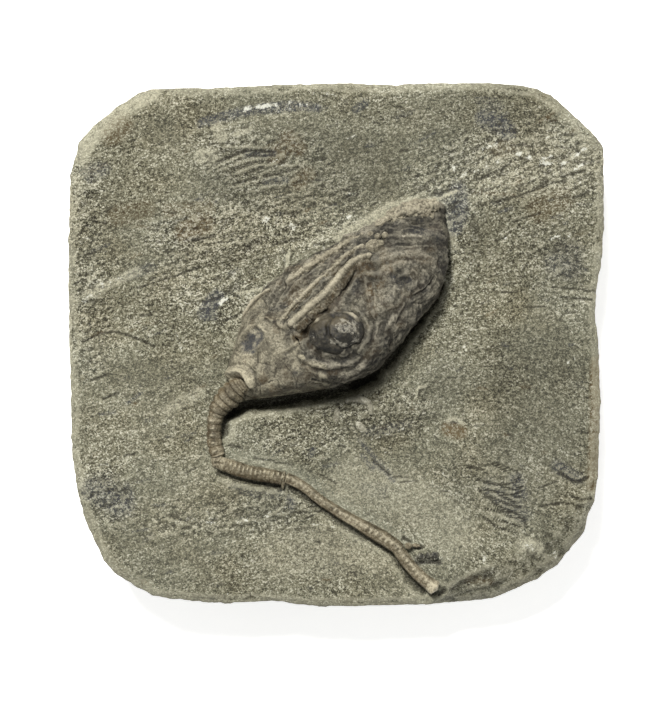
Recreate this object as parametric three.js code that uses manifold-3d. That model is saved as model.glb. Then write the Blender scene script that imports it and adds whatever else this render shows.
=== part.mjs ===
// A fossil sea lily (crinoid) lying on a trimmed slab of siltstone: a folded crown with a small
// domed snail shell on it, and the jointed stem curling away beneath.
// Millimetres, +Z up, +Y towards the top edge of the slab. The origin is the middle of the flat underside.
import * as THREE from "three";
import { mergeVertices } from "three/addons/utils/BufferGeometryUtils.js";
import Module from "manifold-3d";

const wasm = await Module();
wasm.setup();

// ---- Driving dimensions, in millimetres and degrees ----
const BED = 12; // height of the bedding plane that the fossil lies on
const FIT = 0.3; // space between a fossil piece and whatever it lies in
const SLAB_GRID = 16; // facets along each side of the slab
const SLAB_LAYERS = 2; // facets through its thickness
const SWELL = 0.35; // height of the broad waves in the bed
const EDGE_WEAR = 0.5; // how far the worn rim of the top face drops
const CHIP_DEPTH = 2.4; // drop at the broken lower right corner
const CHIP_BEARING = -50; // direction of that corner from the middle
const CHIP_SPREAD = 24; // half its angular width
const CHIP_INNER = 0.89; // where the chip starts, as a share of the way out to the edge
const WALL_BULGE = 0.25; // how far the side walls swell at mid height

const CROWN_AT = [-12.2, -5.0, BED + 1.4]; // middle of the cup's foot
const CROWN_HEADING = 39; // direction of the crown's axis from +X
const CROWN_TILT = -13; // roll about that axis: the arms' side dips into the bed
const CUP_END = 9.5; // along the crown, where the cup's plates give way to the sac
const CROWN_LENGTH = 33;
const SHOULDER = 2.6; // how square the crown's right-hand side is: 2 would be round
const CROWN_SIDES = 20;

const STEM_SIDES = 10;
const ARM_SIDES = 8;
const MOULD_PITCH = 3.6; // spacing of the facets along the hollow that a rod lies in

// The outline of the slab, anticlockwise from the lower left: one list for each side, corner to corner.
const OUTLINE = [
  [
    [-26.6, -27.3], [-24.9, -28.4], [-22.1, -30.0], [-19.5, -30.4], [-13.5, -30.9], [-7.4, -30.7],
    [-3.6, -31.2], [0.3, -31.3], [7.7, -31.2], [14.5, -31.0], [18.9, -30.6], [21.2, -29.5], [24.1, -28.1],
  ],
  [
    [26.6, -26.5], [28.3, -24.4], [29.9, -22.5], [30.3, -20.2], [30.9, -19.0], [31.4, -14.8], [31.7, -6.8],
    [31.5, 0.2], [31.1, 3.7], [31.3, 7.2], [31.8, 9.4], [32.1, 14.2], [32.1, 19.0], [32.0, 23.8],
    [31.1, 25.0], [29.4, 26.7],
  ],
  [
    [27.7, 28.3], [25.9, 29.9], [24.0, 30.8], [22.1, 31.2], [19.0, 31.5], [11.3, 31.5], [7.4, 31.3],
    [0.3, 31.5], [-4.6, 31.4], [-7.9, 31.2], [-14.7, 30.9], [-22.4, 30.8], [-24.0, 30.3],
  ],
  [
    [-26.8, 28.4], [-29.3, 26.3], [-31.0, 24.4], [-31.6, 21.9], [-32.0, 20.2], [-32.1, 15.0], [-32.2, 8.0],
    [-32.1, 1.0], [-31.9, -6.0], [-31.7, -13.4], [-31.2, -16.8], [-30.2, -21.0], [-29.2, -23.0],
    [-27.9, -25.8],
  ],
].map((side, k, sides) => {
  const points = [...side, sides[(k + 1) % 4][0]].map(([x, y]) => new THREE.Vector2(x, y));
  const path = new THREE.CurvePath();
  points.slice(1).forEach((point, i) => path.add(new THREE.LineCurve(points[i], point)));
  return path;
});

// The crown's cross-sections: distance along it, centre sideways and up, half width, half height.
const CROWN_SECTIONS = [
  [0.0, 0.0, 0.0, 1.9, 1.7],
  [3.0, 0.05, 0.4, 3.7, 2.9],
  [6.0, 0.2, 0.7, 5.6, 3.9],
  [9.5, -0.4, 0.9, 7.0, 4.4],
  [14.0, -0.95, 0.9, 7.85, 4.6],
  [18.0, -1.1, 0.7, 7.2, 4.3],
  [22.0, -1.05, 0.4, 6.4, 3.9],
  [26.0, -0.9, 0.0, 5.6, 3.3],
  [29.0, 0.05, -0.3, 4.4, 2.7],
  [31.3, 0.9, -0.5, 2.8, 1.9],
  [CROWN_LENGTH, 1.5, -0.6, 0.5, 0.6],
];

// Arms on the crown: route as seen from above, radius at each end and the middle, lift over the body.
const ARMS = {
  arm_front: {
    route: [
      [-5.1, 2.2], [-3.95, 3.2], [-2.7, 4.4], [-1.45, 5.4], [-0.3, 6.65], [0.65, 7.9], [1.65, 9.25],
      [2.9, 10.1], [4.0, 10.4],
    ],
    radii: [0.95, 0.85, 0.6],
    lift: 0.35,
  },
  arm_second: {
    route: [
      [-6.1, 3.0], [-5.4, 4.05], [-4.15, 5.3], [-2.9, 6.55], [-1.85, 7.6], [-0.6, 8.7], [0.65, 9.85],
      [1.85, 10.9], [3.1, 11.5],
    ],
    radii: [0.5, 0.5, 0.45],
    lift: 0.25,
  },
  arm_third: {
    route: [[-5.6, 7.4], [-3.95, 8.5], [-2.05, 9.75], [-0.2, 11.0], [1.65, 12.1], [3.3, 13.0]],
    radii: [0.75, 0.8, 0.6],
    lift: 0.1,
  },
  arm_left: {
    route: [[-10.8, 3.6], [-10.1, 4.65], [-9.2, 5.6], [-8.0, 6.4]],
    radii: [0.5, 0.55, 0.45],
    lift: 0.15,
  },
  arm_tips: {
    route: [[4.9, 14.1], [6.0, 14.65], [7.5, 15.35], [9.1, 15.9], [10.6, 16.25], [11.9, 16.4]],
    radii: [0.8, 0.95, 0.65],
    lift: 0.2,
  },
};

const PLATE = { at: [4.35, 11.7], radius: 0.9, height: 0.75 }; // where the front arm forks
const OSSICLES = [[4.05, 13.2], [4.9, 12.95], [5.75, 13.1], [5.3, 12.1]]; // loose beads beside the fork
const OSSICLE_RADIUS = 0.4;
const SNAIL = { at: [0.05, 1.45], turn: -32, size: [3.3, 2.5, 1.7], rise: -0.25 };

// The stem's route over the bed: x, y, height of its middle over the bed, radius.
const STEM_ROUTE = {
  stem_upper: {
    points: [
      [-11.1, -4.55, 1.7, 1.15], [-11.75, -5.05, 1.6, 1.2], [-12.5, -5.8, 1.3, 1.2],
      [-13.3, -6.6, 0.95, 1.16], [-14.1, -7.55, 0.7, 1.02], [-14.6, -8.8, 0.5, 0.92],
      [-14.7, -10.0, 0.4, 0.88], [-14.7, -11.3, 0.35, 0.88], [-14.5, -12.4, 0.35, 0.88],
    ],
    pitch: 0.68,
  },
  stem_middle: {
    points: [
      [-12.9, -14.5, 0.35, 0.88], [-11.2, -15.1, 0.35, 0.88], [-9.9, -15.4, 0.35, 0.86],
      [-8.6, -15.6, 0.35, 0.84], [-7.1, -15.9, 0.35, 0.78],
    ],
    pitch: 0.6,
  },
  stem_lower: {
    points: [
      [-5.7, -16.1, 0.32, 0.66], [-5.0, -16.4, 0.3, 0.62], [-4.2, -16.85, 0.3, 0.6], [-3.3, -17.5, 0.3, 0.6],
      [-1.9, -18.65, 0.3, 0.6], [1.0, -20.5, 0.3, 0.64], [2.6, -21.4, 0.3, 0.68], [4.2, -22.35, 0.32, 0.78],
      [5.6, -23.15, 0.35, 0.86], [6.9, -24.0, 0.35, 0.84],
    ],
    pitch: 0.95,
  },
  stem_end: {
    points: [
      [7.6, -24.8, 0.34, 0.74], [8.1, -25.5, 0.38, 0.74], [8.7, -26.3, 0.42, 0.72], [9.6, -27.3, 0.55, 0.74],
      [10.6, -28.2, 0.7, 0.76], [11.7, -29.1, 0.85, 0.86],
    ],
    pitch: 1.1,
  },
};
const RING_RELIEF = 0.08; // how far each stem ring stands out, as a share of the radius

// Small pieces lying in the bed: x, y, height of the middle over the bed, half sizes, turn.
const COLLAR = { at: [-6.35, -16.2, 0.35], radius: 1.0, width: 0.5, turn: -6 };
const LUMPS = {
  loose_columnal_1: { at: [-14.35, -13.75, 0.25], size: [0.85, 0.6, 0.75], turn: 70 },
  loose_columnal_2: { at: [-13.75, -14.35, 0.3], size: [0.6, 0.75, 0.7], turn: 25 },
  cirrus_root: { at: [8.6, -24.1, 0.3], size: [0.38, 0.38, 0.4], turn: -25 },
  cirrus_tip: { at: [9.6, -24.05, 0.15], size: [0.45, 0.26, 0.28], turn: -8 },
  mineral_grain_1: { at: [10.2, -25.55, 0.1], size: [0.5, 0.44, 0.32], turn: 0 },
  mineral_grain_2: { at: [11.1, -25.35, 0.08], size: [0.36, 0.34, 0.28], turn: 20 },
  mineral_grain_3: { at: [11.9, -25.4, 0.1], size: [0.5, 0.46, 0.34], turn: -10 },
  shell_chip_lens: { at: [0.05, -8.4, 0.05], size: [0.4, 0.9, 0.3], turn: -6 },
  shell_chip_dome: { at: [2.95, -9.85, 0.05], size: [0.85, 0.5, 0.35], turn: -50 },
};
const SHELL_ARC = {
  points: [[1.1, -6.65, 0.05, 0.3], [2.6, -6.45, 0.08, 0.38], [3.9, -7.05, 0.08, 0.38], [4.2, -8.3, 0.05, 0.28]],
};

const COLOURS = {
  siltstone: 0x8c8a77,
  cup: 0x958d79,
  sac: 0x736f60,
  arm: 0x8f8873,
  stem: 0x968d78,
  snail: 0x5c5950,
  shell: 0xa9a594,
  mineral: 0x4b4a42,
};

// ---- Small helpers ----

// A smooth value at x from rows of [x, a, b, ...] in rising x: returns the interpolated [a, b, ...].
function alongRows(rows, x) {
  const last = rows.length - 1;
  let i = rows.findIndex((row, k) => k < last && x <= rows[k + 1][0]);
  if (i < 0) i = last - 1;
  const [p0, p1, p2, p3] = [i - 1, i, i + 1, i + 2].map((k) => rows[Math.min(Math.max(k, 0), last)]);
  const t = Math.min(Math.max((x - p1[0]) / (p2[0] - p1[0]), 0), 1);
  return p1.slice(1).map((a, k) => {
    const [before, here, next, after] = [p0[k + 1], a, p2[k + 1], p3[k + 1]];
    const slopeIn = (next - before) / 2;
    const slopeOut = (after - here) / 2;
    const bend = 2 * (here - next) + slopeIn + slopeOut;
    return here + slopeIn * t + (3 * (next - here) - 2 * slopeIn - slopeOut) * t * t + bend * t ** 3;
  });
}

function smoothstep(from, to, x) {
  const t = Math.min(Math.max((x - from) / (to - from), 0), 1);
  return t * t * (3 - 2 * t);
}

// Moves every vertex of a geometry by a function that changes a Vector3 in place.
function reshape(geometry, change) {
  const place = geometry.attributes.position;
  const v = new THREE.Vector3();
  for (let i = 0; i < place.count; i++) {
    change(v.fromBufferAttribute(place, i));
    place.setXYZ(i, v.x, v.y, v.z);
  }
  return geometry;
}

// A closed geometry, with its matrix applied, as a solid that can be cut.
function solidOf(geometry, matrix) {
  const bare = geometry.clone().applyMatrix4(matrix);
  for (const name of ["normal", "uv"]) bare.deleteAttribute(name);
  const merged = mergeVertices(bare, 1e-4);
  return new wasm.Manifold(
    new wasm.Mesh({
      numProp: 3,
      vertProperties: merged.attributes.position.array,
      triVerts: new Uint32Array(merged.index.array),
    }),
  );
}

function geometryOf(solid) {
  const { vertProperties, triVerts } = solid.getMesh();
  const geometry = new THREE.BufferGeometry();
  geometry.setAttribute("position", new THREE.BufferAttribute(vertProperties, 3));
  geometry.setIndex(new THREE.BufferAttribute(triVerts, 1));
  return geometry;
}

// ---- The slab ----

// Where a point of the square from -1 to 1 falls inside the outline: its rim follows the sides.
function onSlab(a, b) {
  const reach = Math.max(Math.abs(a), Math.abs(b));
  if (reach === 0) return new THREE.Vector2();
  const [p, q] = [a / reach, b / reach];
  let side;
  let share;
  if (q === -1) [side, share] = [0, (p + 1) / 2];
  else if (p === 1) [side, share] = [1, (q + 1) / 2];
  else if (q === 1) [side, share] = [2, (1 - p) / 2];
  else [side, share] = [3, (1 - q) / 2];
  return OUTLINE[side].getPoint(share).multiplyScalar(reach);
}

function bedHeight(x, y) {
  const broad = Math.sin(0.11 * x + 0.9) * Math.cos(0.13 * y - 0.4);
  return BED + SWELL * (broad + 0.4 * Math.sin(0.31 * x + 0.17 * y));
}

function slabShape() {
  const slab = new THREE.BoxGeometry(2, 2, 1, SLAB_GRID, SLAB_GRID, SLAB_LAYERS);
  return reshape(slab, (v) => {
    const reach = Math.max(Math.abs(v.x), Math.abs(v.y));
    const place = onSlab(v.x, v.y);
    const level = v.z + 0.5;
    const bearing = THREE.MathUtils.radToDeg(Math.atan2(place.y, place.x));
    const nearChip = 1 - smoothstep(CHIP_SPREAD * 0.6, CHIP_SPREAD, Math.abs(bearing - CHIP_BEARING));
    const chip = CHIP_DEPTH * nearChip * smoothstep(CHIP_INNER, 1, reach);
    const wear = EDGE_WEAR * smoothstep(0.94, 1, reach);
    const top = bedHeight(place.x, place.y) - chip - wear;
    const bulge = WALL_BULGE * Math.sin(Math.PI * level) * smoothstep(0.99, 1, reach);
    const out = place.clone().normalize().multiplyScalar(bulge - 2 * WALL_BULGE * (1 - level) * (reach === 1));
    v.set(place.x + out.x, place.y + out.y, level * top);
  });
}

// ---- The crown ----

const crown = new THREE.Group();
crown.position.set(...CROWN_AT);
crown.rotation.set(
  THREE.MathUtils.degToRad(CROWN_TILT),
  0,
  THREE.MathUtils.degToRad(CROWN_HEADING),
  "ZYX",
);
crown.updateMatrixWorld(true);

// How high the section's upper edge stands, as a share of its half height, at a share of the way out
// from its middle. The right-hand side has a squarer shoulder.
function sectionTop(out) {
  const power = out < 0 ? SHOULDER : 2;
  return (1 - Math.min(Math.abs(out), 1) ** power) ** (1 / power);
}

// A stretch of the crown's body from one distance to another, closed by flat ends.
function crownStretch(from, to, steps, grow) {
  const rings = Array.from({ length: steps + 1 }, (_, k) => from - grow + ((to - from + 2 * grow) * k) / steps);
  const profile = [[0, rings[0]], ...rings.map((u) => [1, u]), [0, rings[steps]]];
  const tube = new THREE.LatheGeometry(profile.map(([r, u]) => new THREE.Vector2(r, u)), CROWN_SIDES);
  return reshape(tube, (v) => {
    const [side, up, halfWidth, halfHeight] = alongRows(CROWN_SECTIONS, v.y);
    const rim = Math.hypot(v.x, v.z) > 0.5;
    const over = rim ? Math.sign(v.z) * sectionTop(-v.x) : 0;
    v.set(v.y, side - v.x * (halfWidth + grow), up + over * (halfHeight + grow));
  });
}

// The height of the body's upper surface at a distance along it and a distance sideways.
function crownTop(u, sideways) {
  const [side, up, halfWidth, halfHeight] = alongRows(CROWN_SECTIONS, u);
  const out = Math.min(Math.max((sideways - side) / halfWidth, -0.97), 0.97);
  return up + halfHeight * sectionTop(out);
}

// The place on the crown that lies under a point seen from above, raised by a height.
function onCrown([x, y], rise) {
  const [heading, tilt] = [CROWN_HEADING, CROWN_TILT].map(THREE.MathUtils.degToRad);
  const [dx, dy] = [x - CROWN_AT[0], y - CROWN_AT[1]];
  const u = dx * Math.cos(heading) + dy * Math.sin(heading);
  const seen = dy * Math.cos(heading) - dx * Math.sin(heading);
  let v = seen;
  for (let pass = 0; pass < 20; pass++) v = (seen + (crownTop(u, v) + rise) * Math.sin(tilt)) / Math.cos(tilt);
  return [u, v, crownTop(u, v) + rise];
}

// ---- Rods: arms and stem ----

// A straight turned rod along +Y, bent so that its middle follows the curve and its +Z stays uppermost.
function bendAlong(rod, curve, length) {
  const up = new THREE.Vector3(0, 0, 1);
  return reshape(rod, (v) => {
    const share = Math.min(Math.max(v.y / length, 0), 1);
    const overshoot = v.y - share * length;
    const ahead = curve.getTangentAt(share);
    const side = new THREE.Vector3().crossVectors(ahead, up).normalize();
    const over = new THREE.Vector3().crossVectors(side, ahead);
    const centre = curve.getPointAt(share).addScaledVector(ahead, overshoot);
    v.copy(centre.addScaledVector(side, v.x).addScaledVector(over, v.z));
  });
}

// A rod along a curve, its radius read from rows of [share of the length, radius]. Each ring stands out
// by its relief, a share of the radius. Its mould, when it has to grow, is a plain rod that clears the rings.
function ringedRod(curve, radiusRows, { pitch, relief = 0, sides }, grow) {
  const length = curve.getLength();
  const mould = grow > 0;
  const steps = 2 * Math.max(2, Math.round(length / (mould ? MOULD_PITCH : pitch)));
  const profile = [new THREE.Vector2(0, -grow)];
  for (let k = 0; k <= steps; k++) {
    const share = k / steps;
    const [radius] = alongRows(radiusRows, share);
    const standing = mould || k % 2 ? relief : -relief;
    const end = k === 0 ? -grow : k === steps ? grow : 0;
    profile.push(new THREE.Vector2(radius * (1 + standing) + grow, share * length + end));
  }
  profile.push(new THREE.Vector2(0, length + grow));
  return bendAlong(new THREE.LatheGeometry(profile, sides), curve, length);
}

function armShape(arm, grow) {
  const points = arm.route.map((seen) => new THREE.Vector3(...onCrown(seen, arm.lift)));
  const [first, middle, last] = arm.radii;
  const rows = [[0, first], [0.5, middle], [1, last]];
  return ringedRod(new THREE.CatmullRomCurve3(points), rows, { pitch: 3.2, sides: ARM_SIDES }, grow);
}

function stemShape({ points, pitch }, grow) {
  const route = points.map(([x, y, lift]) => new THREE.Vector3(x, y, BED + lift));
  const rows = points.map(([, , , radius], k) => [k / (points.length - 1), radius]);
  const rings = { pitch, relief: RING_RELIEF, sides: STEM_SIDES };
  return ringedRod(new THREE.CatmullRomCurve3(route), rows, rings, grow);
}

// ---- Rounded lumps ----

function lumpShape(centre, size, turn, grow, detail = 8) {
  const lump = new THREE.SphereGeometry(1, detail, Math.ceil(detail * 0.6));
  lump.scale(...size.map((half) => half + grow));
  lump.rotateZ(THREE.MathUtils.degToRad(turn));
  return lump.translate(...centre);
}

// The nodal ring part-way down the stem: a short wide drum across it.
function collarShape(grow) {
  const drum = new THREE.CylinderGeometry(COLLAR.radius + grow, COLLAR.radius + grow, COLLAR.width + 2 * grow, 12);
  drum.rotateZ(THREE.MathUtils.degToRad(90 + COLLAR.turn));
  return drum.translate(COLLAR.at[0], COLLAR.at[1], BED + COLLAR.at[2]);
}

function shellArcShape(grow) {
  const route = SHELL_ARC.points.map(([x, y, lift]) => new THREE.Vector3(x, y, bedHeight(x, y) + lift));
  const rows = SHELL_ARC.points.map(([, , , radius], k) => [k / (SHELL_ARC.points.length - 1), radius]);
  return ringedRod(new THREE.CatmullRomCurve3(route), rows, { pitch: 1.6, sides: 6 }, grow);
}

// ---- Putting it together ----

const fossil = new THREE.Group();
const bedPieces = new THREE.Group();
bedPieces.updateMatrixWorld(true);
fossil.add(bedPieces, crown);

// Every piece in the order in which it claims its space: a later piece is cut back from the earlier ones.
const pieces = [
  { name: "nodal_collar", group: bedPieces, colour: "stem", shape: collarShape },
  ...Object.entries(LUMPS).map(([name, { at: [x, y, lift], size, turn }]) => ({
    name,
    group: bedPieces,
    colour: name.startsWith("mineral") ? "mineral" : name.startsWith("shell") ? "shell" : "stem",
    shape: (grow) => lumpShape([x, y, bedHeight(x, y) + lift], size, turn, grow),
  })),
  { name: "shell_chip_arc", group: bedPieces, colour: "shell", shape: shellArcShape },
  ...Object.entries(STEM_ROUTE).map(([name, stretch]) => ({
    name,
    group: bedPieces,
    colour: "stem",
    shape: (grow) => stemShape(stretch, grow),
  })),
  {
    name: "fork_plate",
    group: crown,
    colour: "arm",
    shape: (grow) =>
      lumpShape(onCrown(PLATE.at, 0.3), [PLATE.radius, PLATE.radius, PLATE.height], 0, grow, 10),
  },
  ...OSSICLES.map((at, k) => ({
    name: `arm_ossicle_${k + 1}`,
    group: crown,
    colour: "arm",
    shape: (grow) => lumpShape(onCrown(at, 0.15), [OSSICLE_RADIUS, OSSICLE_RADIUS, OSSICLE_RADIUS], 0, grow, 8),
  })),
  ...Object.entries(ARMS).map(([name, arm]) => ({
    name,
    group: crown,
    colour: "arm",
    shape: (grow) => armShape(arm, grow),
  })),
  {
    name: "snail_shell",
    group: crown,
    colour: "snail",
    shape: (grow) => lumpShape(onCrown(SNAIL.at, SNAIL.rise), SNAIL.size, SNAIL.turn, grow, 18),
  },
  { name: "cup", group: crown, colour: "cup", shape: (grow) => crownStretch(0, CUP_END, 5, grow) },
  {
    name: "anal_sac",
    group: crown,
    colour: "sac",
    shape: (grow) => crownStretch(CUP_END + FIT, CROWN_LENGTH, 11, grow),
  },
  { name: "matrix_slab", group: bedPieces, colour: "siltstone", shape: slabShape },
];

const claimed = [];
for (const { name, group, colour, shape } of pieces) {
  const whole = solidOf(shape(0), group.matrixWorld);
  const cut = claimed.reduce((solid, other) => solid.subtract(other), whole);
  // A cut can leave slivers beside a piece: only the body itself is kept.
  const body = cut.decompose().reduce((a, b) => (a.volume() > b.volume() ? a : b));
  if (name !== "matrix_slab") claimed.push(solidOf(shape(FIT), group.matrixWorld));
  const geometry = geometryOf(body).applyMatrix4(group.matrixWorld.clone().invert());
  const material = new THREE.MeshStandardMaterial({ color: COLOURS[colour], roughness: 0.9, metalness: 0 });
  const mesh = new THREE.Mesh(geometry, material);
  mesh.name = name;
  group.add(mesh);
}

// The outline is drawn by hand, so the whole is moved until its middle stands over the origin.
const box = new THREE.Box3().setFromObject(fossil);
const middle = box.getCenter(new THREE.Vector3());
fossil.position.set(-middle.x, -middle.y, 0);

export default fossil;
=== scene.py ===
"""A fossil sea lily lying on a trimmed slab of siltstone, lit and seen from above.

Forms are drawn in millimetres, in the same places as the solids, and are turned into metres when each
piece is finished. Every piece starts as a plain blank, which is bent into shape and then carved: ridges
and grooves are strokes laid over it, and the stone's grain is layered noise.
"""
import itertools
import math

import bmesh
import bpy
import numpy as np
from mathutils import Matrix, Vector


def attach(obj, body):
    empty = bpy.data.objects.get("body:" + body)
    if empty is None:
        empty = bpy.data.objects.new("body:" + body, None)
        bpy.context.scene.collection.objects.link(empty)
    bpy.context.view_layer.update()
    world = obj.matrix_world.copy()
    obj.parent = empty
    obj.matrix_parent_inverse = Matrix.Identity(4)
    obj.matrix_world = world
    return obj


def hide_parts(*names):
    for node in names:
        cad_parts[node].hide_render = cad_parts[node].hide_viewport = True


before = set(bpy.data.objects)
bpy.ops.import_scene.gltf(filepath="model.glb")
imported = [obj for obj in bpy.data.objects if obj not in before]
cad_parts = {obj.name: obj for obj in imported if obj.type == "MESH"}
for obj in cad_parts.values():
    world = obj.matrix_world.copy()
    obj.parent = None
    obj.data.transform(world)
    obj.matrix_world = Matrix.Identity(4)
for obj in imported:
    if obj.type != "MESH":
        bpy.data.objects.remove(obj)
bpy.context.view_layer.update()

# ---- Sizes, in millimetres and degrees ----
MM = 0.001
BED = 12.0  # height of the bedding plane that the fossil lies on
MIDDLE = np.array([0.048, -0.1024, 0.0])  # moves the drawn outline's middle to the origin
OUTLINE_GROWTH = 1.006  # room for the rim's worn and bitten edge
SWELL = 0.35  # height of the broad waves in the bed
WALL_BULGE = 0.25  # how far the side walls swell at mid height
WALL_TAPER = 0.5  # how far they draw in at the foot
SLAB_TOP_GRID = 276  # squares along each side of the carved top
SLAB_FOOT_GRID = 46
SLAB_FOOT_SHARE = 0.985  # size of the foot's grid against the top's, before the ring that joins them
SLAB_WALL_LEVELS = [0.94, 0.86, 0.76, 0.64, 0.52, 0.40, 0.28, 0.17, 0.08, 0.03]

CROWN_AT = np.array([-12.2, -5.0, BED + 1.4])  # middle of the cup's foot
CROWN_HEADING = 39  # direction of the crown's axis from +X
CROWN_TILT = -13  # roll about that axis: the arms' side dips into the bed
CUP_END = 9.5  # along the crown, where the cup's plates give way to the sac
CROWN_LENGTH = 33.0
CUP_SAC_GAP = 0.02  # between the cup and the sac
SHOULDER = 3.2  # how square the crown's right-hand side is: 2 would be round
ARM_CREST_ANGLE = 2.1  # radians round an arm from its right-hand side
CAP_RINGS = 3  # rings of a blank that close each end of a rod or of a stretch of the body

# The outline of the slab, anticlockwise from the lower left: one list for each side, corner to corner.
OUTLINE = [
    [
        (-26.6, -27.3), (-24.9, -28.4), (-22.1, -30.0), (-19.5, -30.4), (-13.5, -30.9), (-7.4, -30.7),
        (-3.6, -31.2), (0.3, -31.3), (7.7, -31.2), (14.5, -31.0), (18.9, -30.6), (21.2, -29.5), (24.1, -28.1),
    ],
    [
        (26.6, -26.5), (28.3, -24.4), (29.9, -22.5), (30.3, -20.2), (30.9, -19.0), (31.4, -14.8),
        (31.7, -6.8), (31.5, 0.2), (31.1, 3.7), (31.3, 7.2), (31.8, 9.4), (32.1, 14.2), (32.1, 19.0),
        (32.0, 23.8), (31.1, 25.0), (29.4, 26.7),
    ],
    [
        (27.7, 28.3), (25.9, 29.9), (24.0, 30.8), (22.1, 31.2), (19.0, 31.5), (11.3, 31.5), (7.4, 31.3),
        (0.3, 31.5), (-4.6, 31.4), (-7.9, 31.2), (-14.7, 30.9), (-22.4, 30.8), (-24.0, 30.3),
    ],
    [
        (-26.8, 28.4), (-29.3, 26.3), (-31.0, 24.4), (-31.6, 21.9), (-32.0, 20.2), (-32.1, 15.0),
        (-32.2, 8.0), (-32.1, 1.0), (-31.9, -6.0), (-31.7, -13.4), (-31.2, -16.8), (-30.2, -21.0),
        (-29.2, -23.0), (-27.9, -25.8),
    ],
]

# The crown's cross-sections: distance along it, centre sideways and up, half width, half height.
CROWN_SECTIONS = [
    (0.0, 0.0, 0.0, 1.9, 1.7),
    (3.0, 0.05, 0.4, 3.7, 2.9),
    (6.0, 0.2, 0.7, 5.6, 3.9),
    (9.5, -0.4, 0.9, 7.0, 4.4),
    (14.0, -0.95, 0.9, 7.85, 4.6),
    (18.0, -1.1, 0.7, 7.2, 4.3),
    (22.0, -1.05, 0.4, 6.4, 3.9),
    (26.0, -0.9, 0.0, 5.6, 3.3),
    (29.0, 0.05, -0.3, 4.4, 2.7),
    (31.3, 0.9, -0.5, 2.8, 1.9),
    (CROWN_LENGTH, 1.5, -0.6, 0.5, 0.6),
]

# Arms: route as seen from above, radii at both ends and the middle, lift over the body. Joint is the
# spacing of the plates and rough is how granular they are. Lean is how far the crest stands towards the
# left side, pale how worn the whole arm is and crest how pale its crest is painted: wear, and painted
# highlight on that upper-left side, which faces the light.
ARMS = {
    "arm_front": {
        "route": [
            (-5.1, 2.2), (-3.95, 3.2), (-2.7, 4.4), (-1.45, 5.4), (-0.3, 6.65), (0.65, 7.9), (1.65, 9.25),
            (2.9, 10.1), (4.0, 10.4),
        ],
        "radii": (1.05, 0.95, 0.65), "lift": -0.15,
        "joint": 0.7, "rough": 1.1, "lean": 0.3, "pale": 0.0, "crest": 0.6,
    },
    "arm_second": {
        "route": [
            (-6.1, 3.0), (-5.4, 4.05), (-4.15, 5.3), (-2.9, 6.55), (-1.85, 7.6), (-0.6, 8.7), (0.65, 9.85),
            (1.85, 10.9), (3.1, 11.5),
        ],
        "radii": (0.6, 0.6, 0.5), "lift": -0.2,
        "joint": 0.45, "rough": 2.0, "lean": 0.25, "pale": 0.0, "crest": 0.4,
    },
    "arm_third": {
        "route": [(-5.6, 7.4), (-3.95, 8.5), (-2.05, 9.75), (-0.2, 11.0), (1.65, 12.1), (3.3, 13.0)],
        "radii": (0.75, 0.8, 0.6), "lift": -0.4,
        "joint": 1.1, "rough": 3.4, "lean": 0.3, "pale": 0.15, "crest": 0.35,
    },
    "arm_left": {
        "route": [(-10.8, 3.6), (-10.1, 4.65), (-9.2, 5.6), (-8.0, 6.4)],
        "radii": (0.42, 0.5, 0.4), "lift": 0.1,
        "joint": 0.9, "rough": 1.4, "lean": 0.7, "pale": 0.2, "crest": 0.7,
    },
    "arm_tips": {
        "route": [(4.9, 14.1), (6.0, 14.65), (7.5, 15.35), (9.1, 15.9), (10.6, 16.25), (11.9, 16.4)],
        "radii": (0.8, 1.3, 1.1), "lift": -0.2,
        "joint": 0.8, "rough": 3.4, "lean": 0.1, "pale": 0.5, "crest": 0.2,
    },
}
PLATE = {"at": (4.35, 11.7), "size": (0.95, 0.82, 0.6), "turn": 15}
OSSICLES = [(4.05, 13.2), (4.9, 12.95), (5.75, 13.1), (5.3, 12.1)]
SNAIL = {"at": (0.05, 1.45), "turn": -32, "size": (3.3, 2.5, 1.75), "rise": -0.3}

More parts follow.
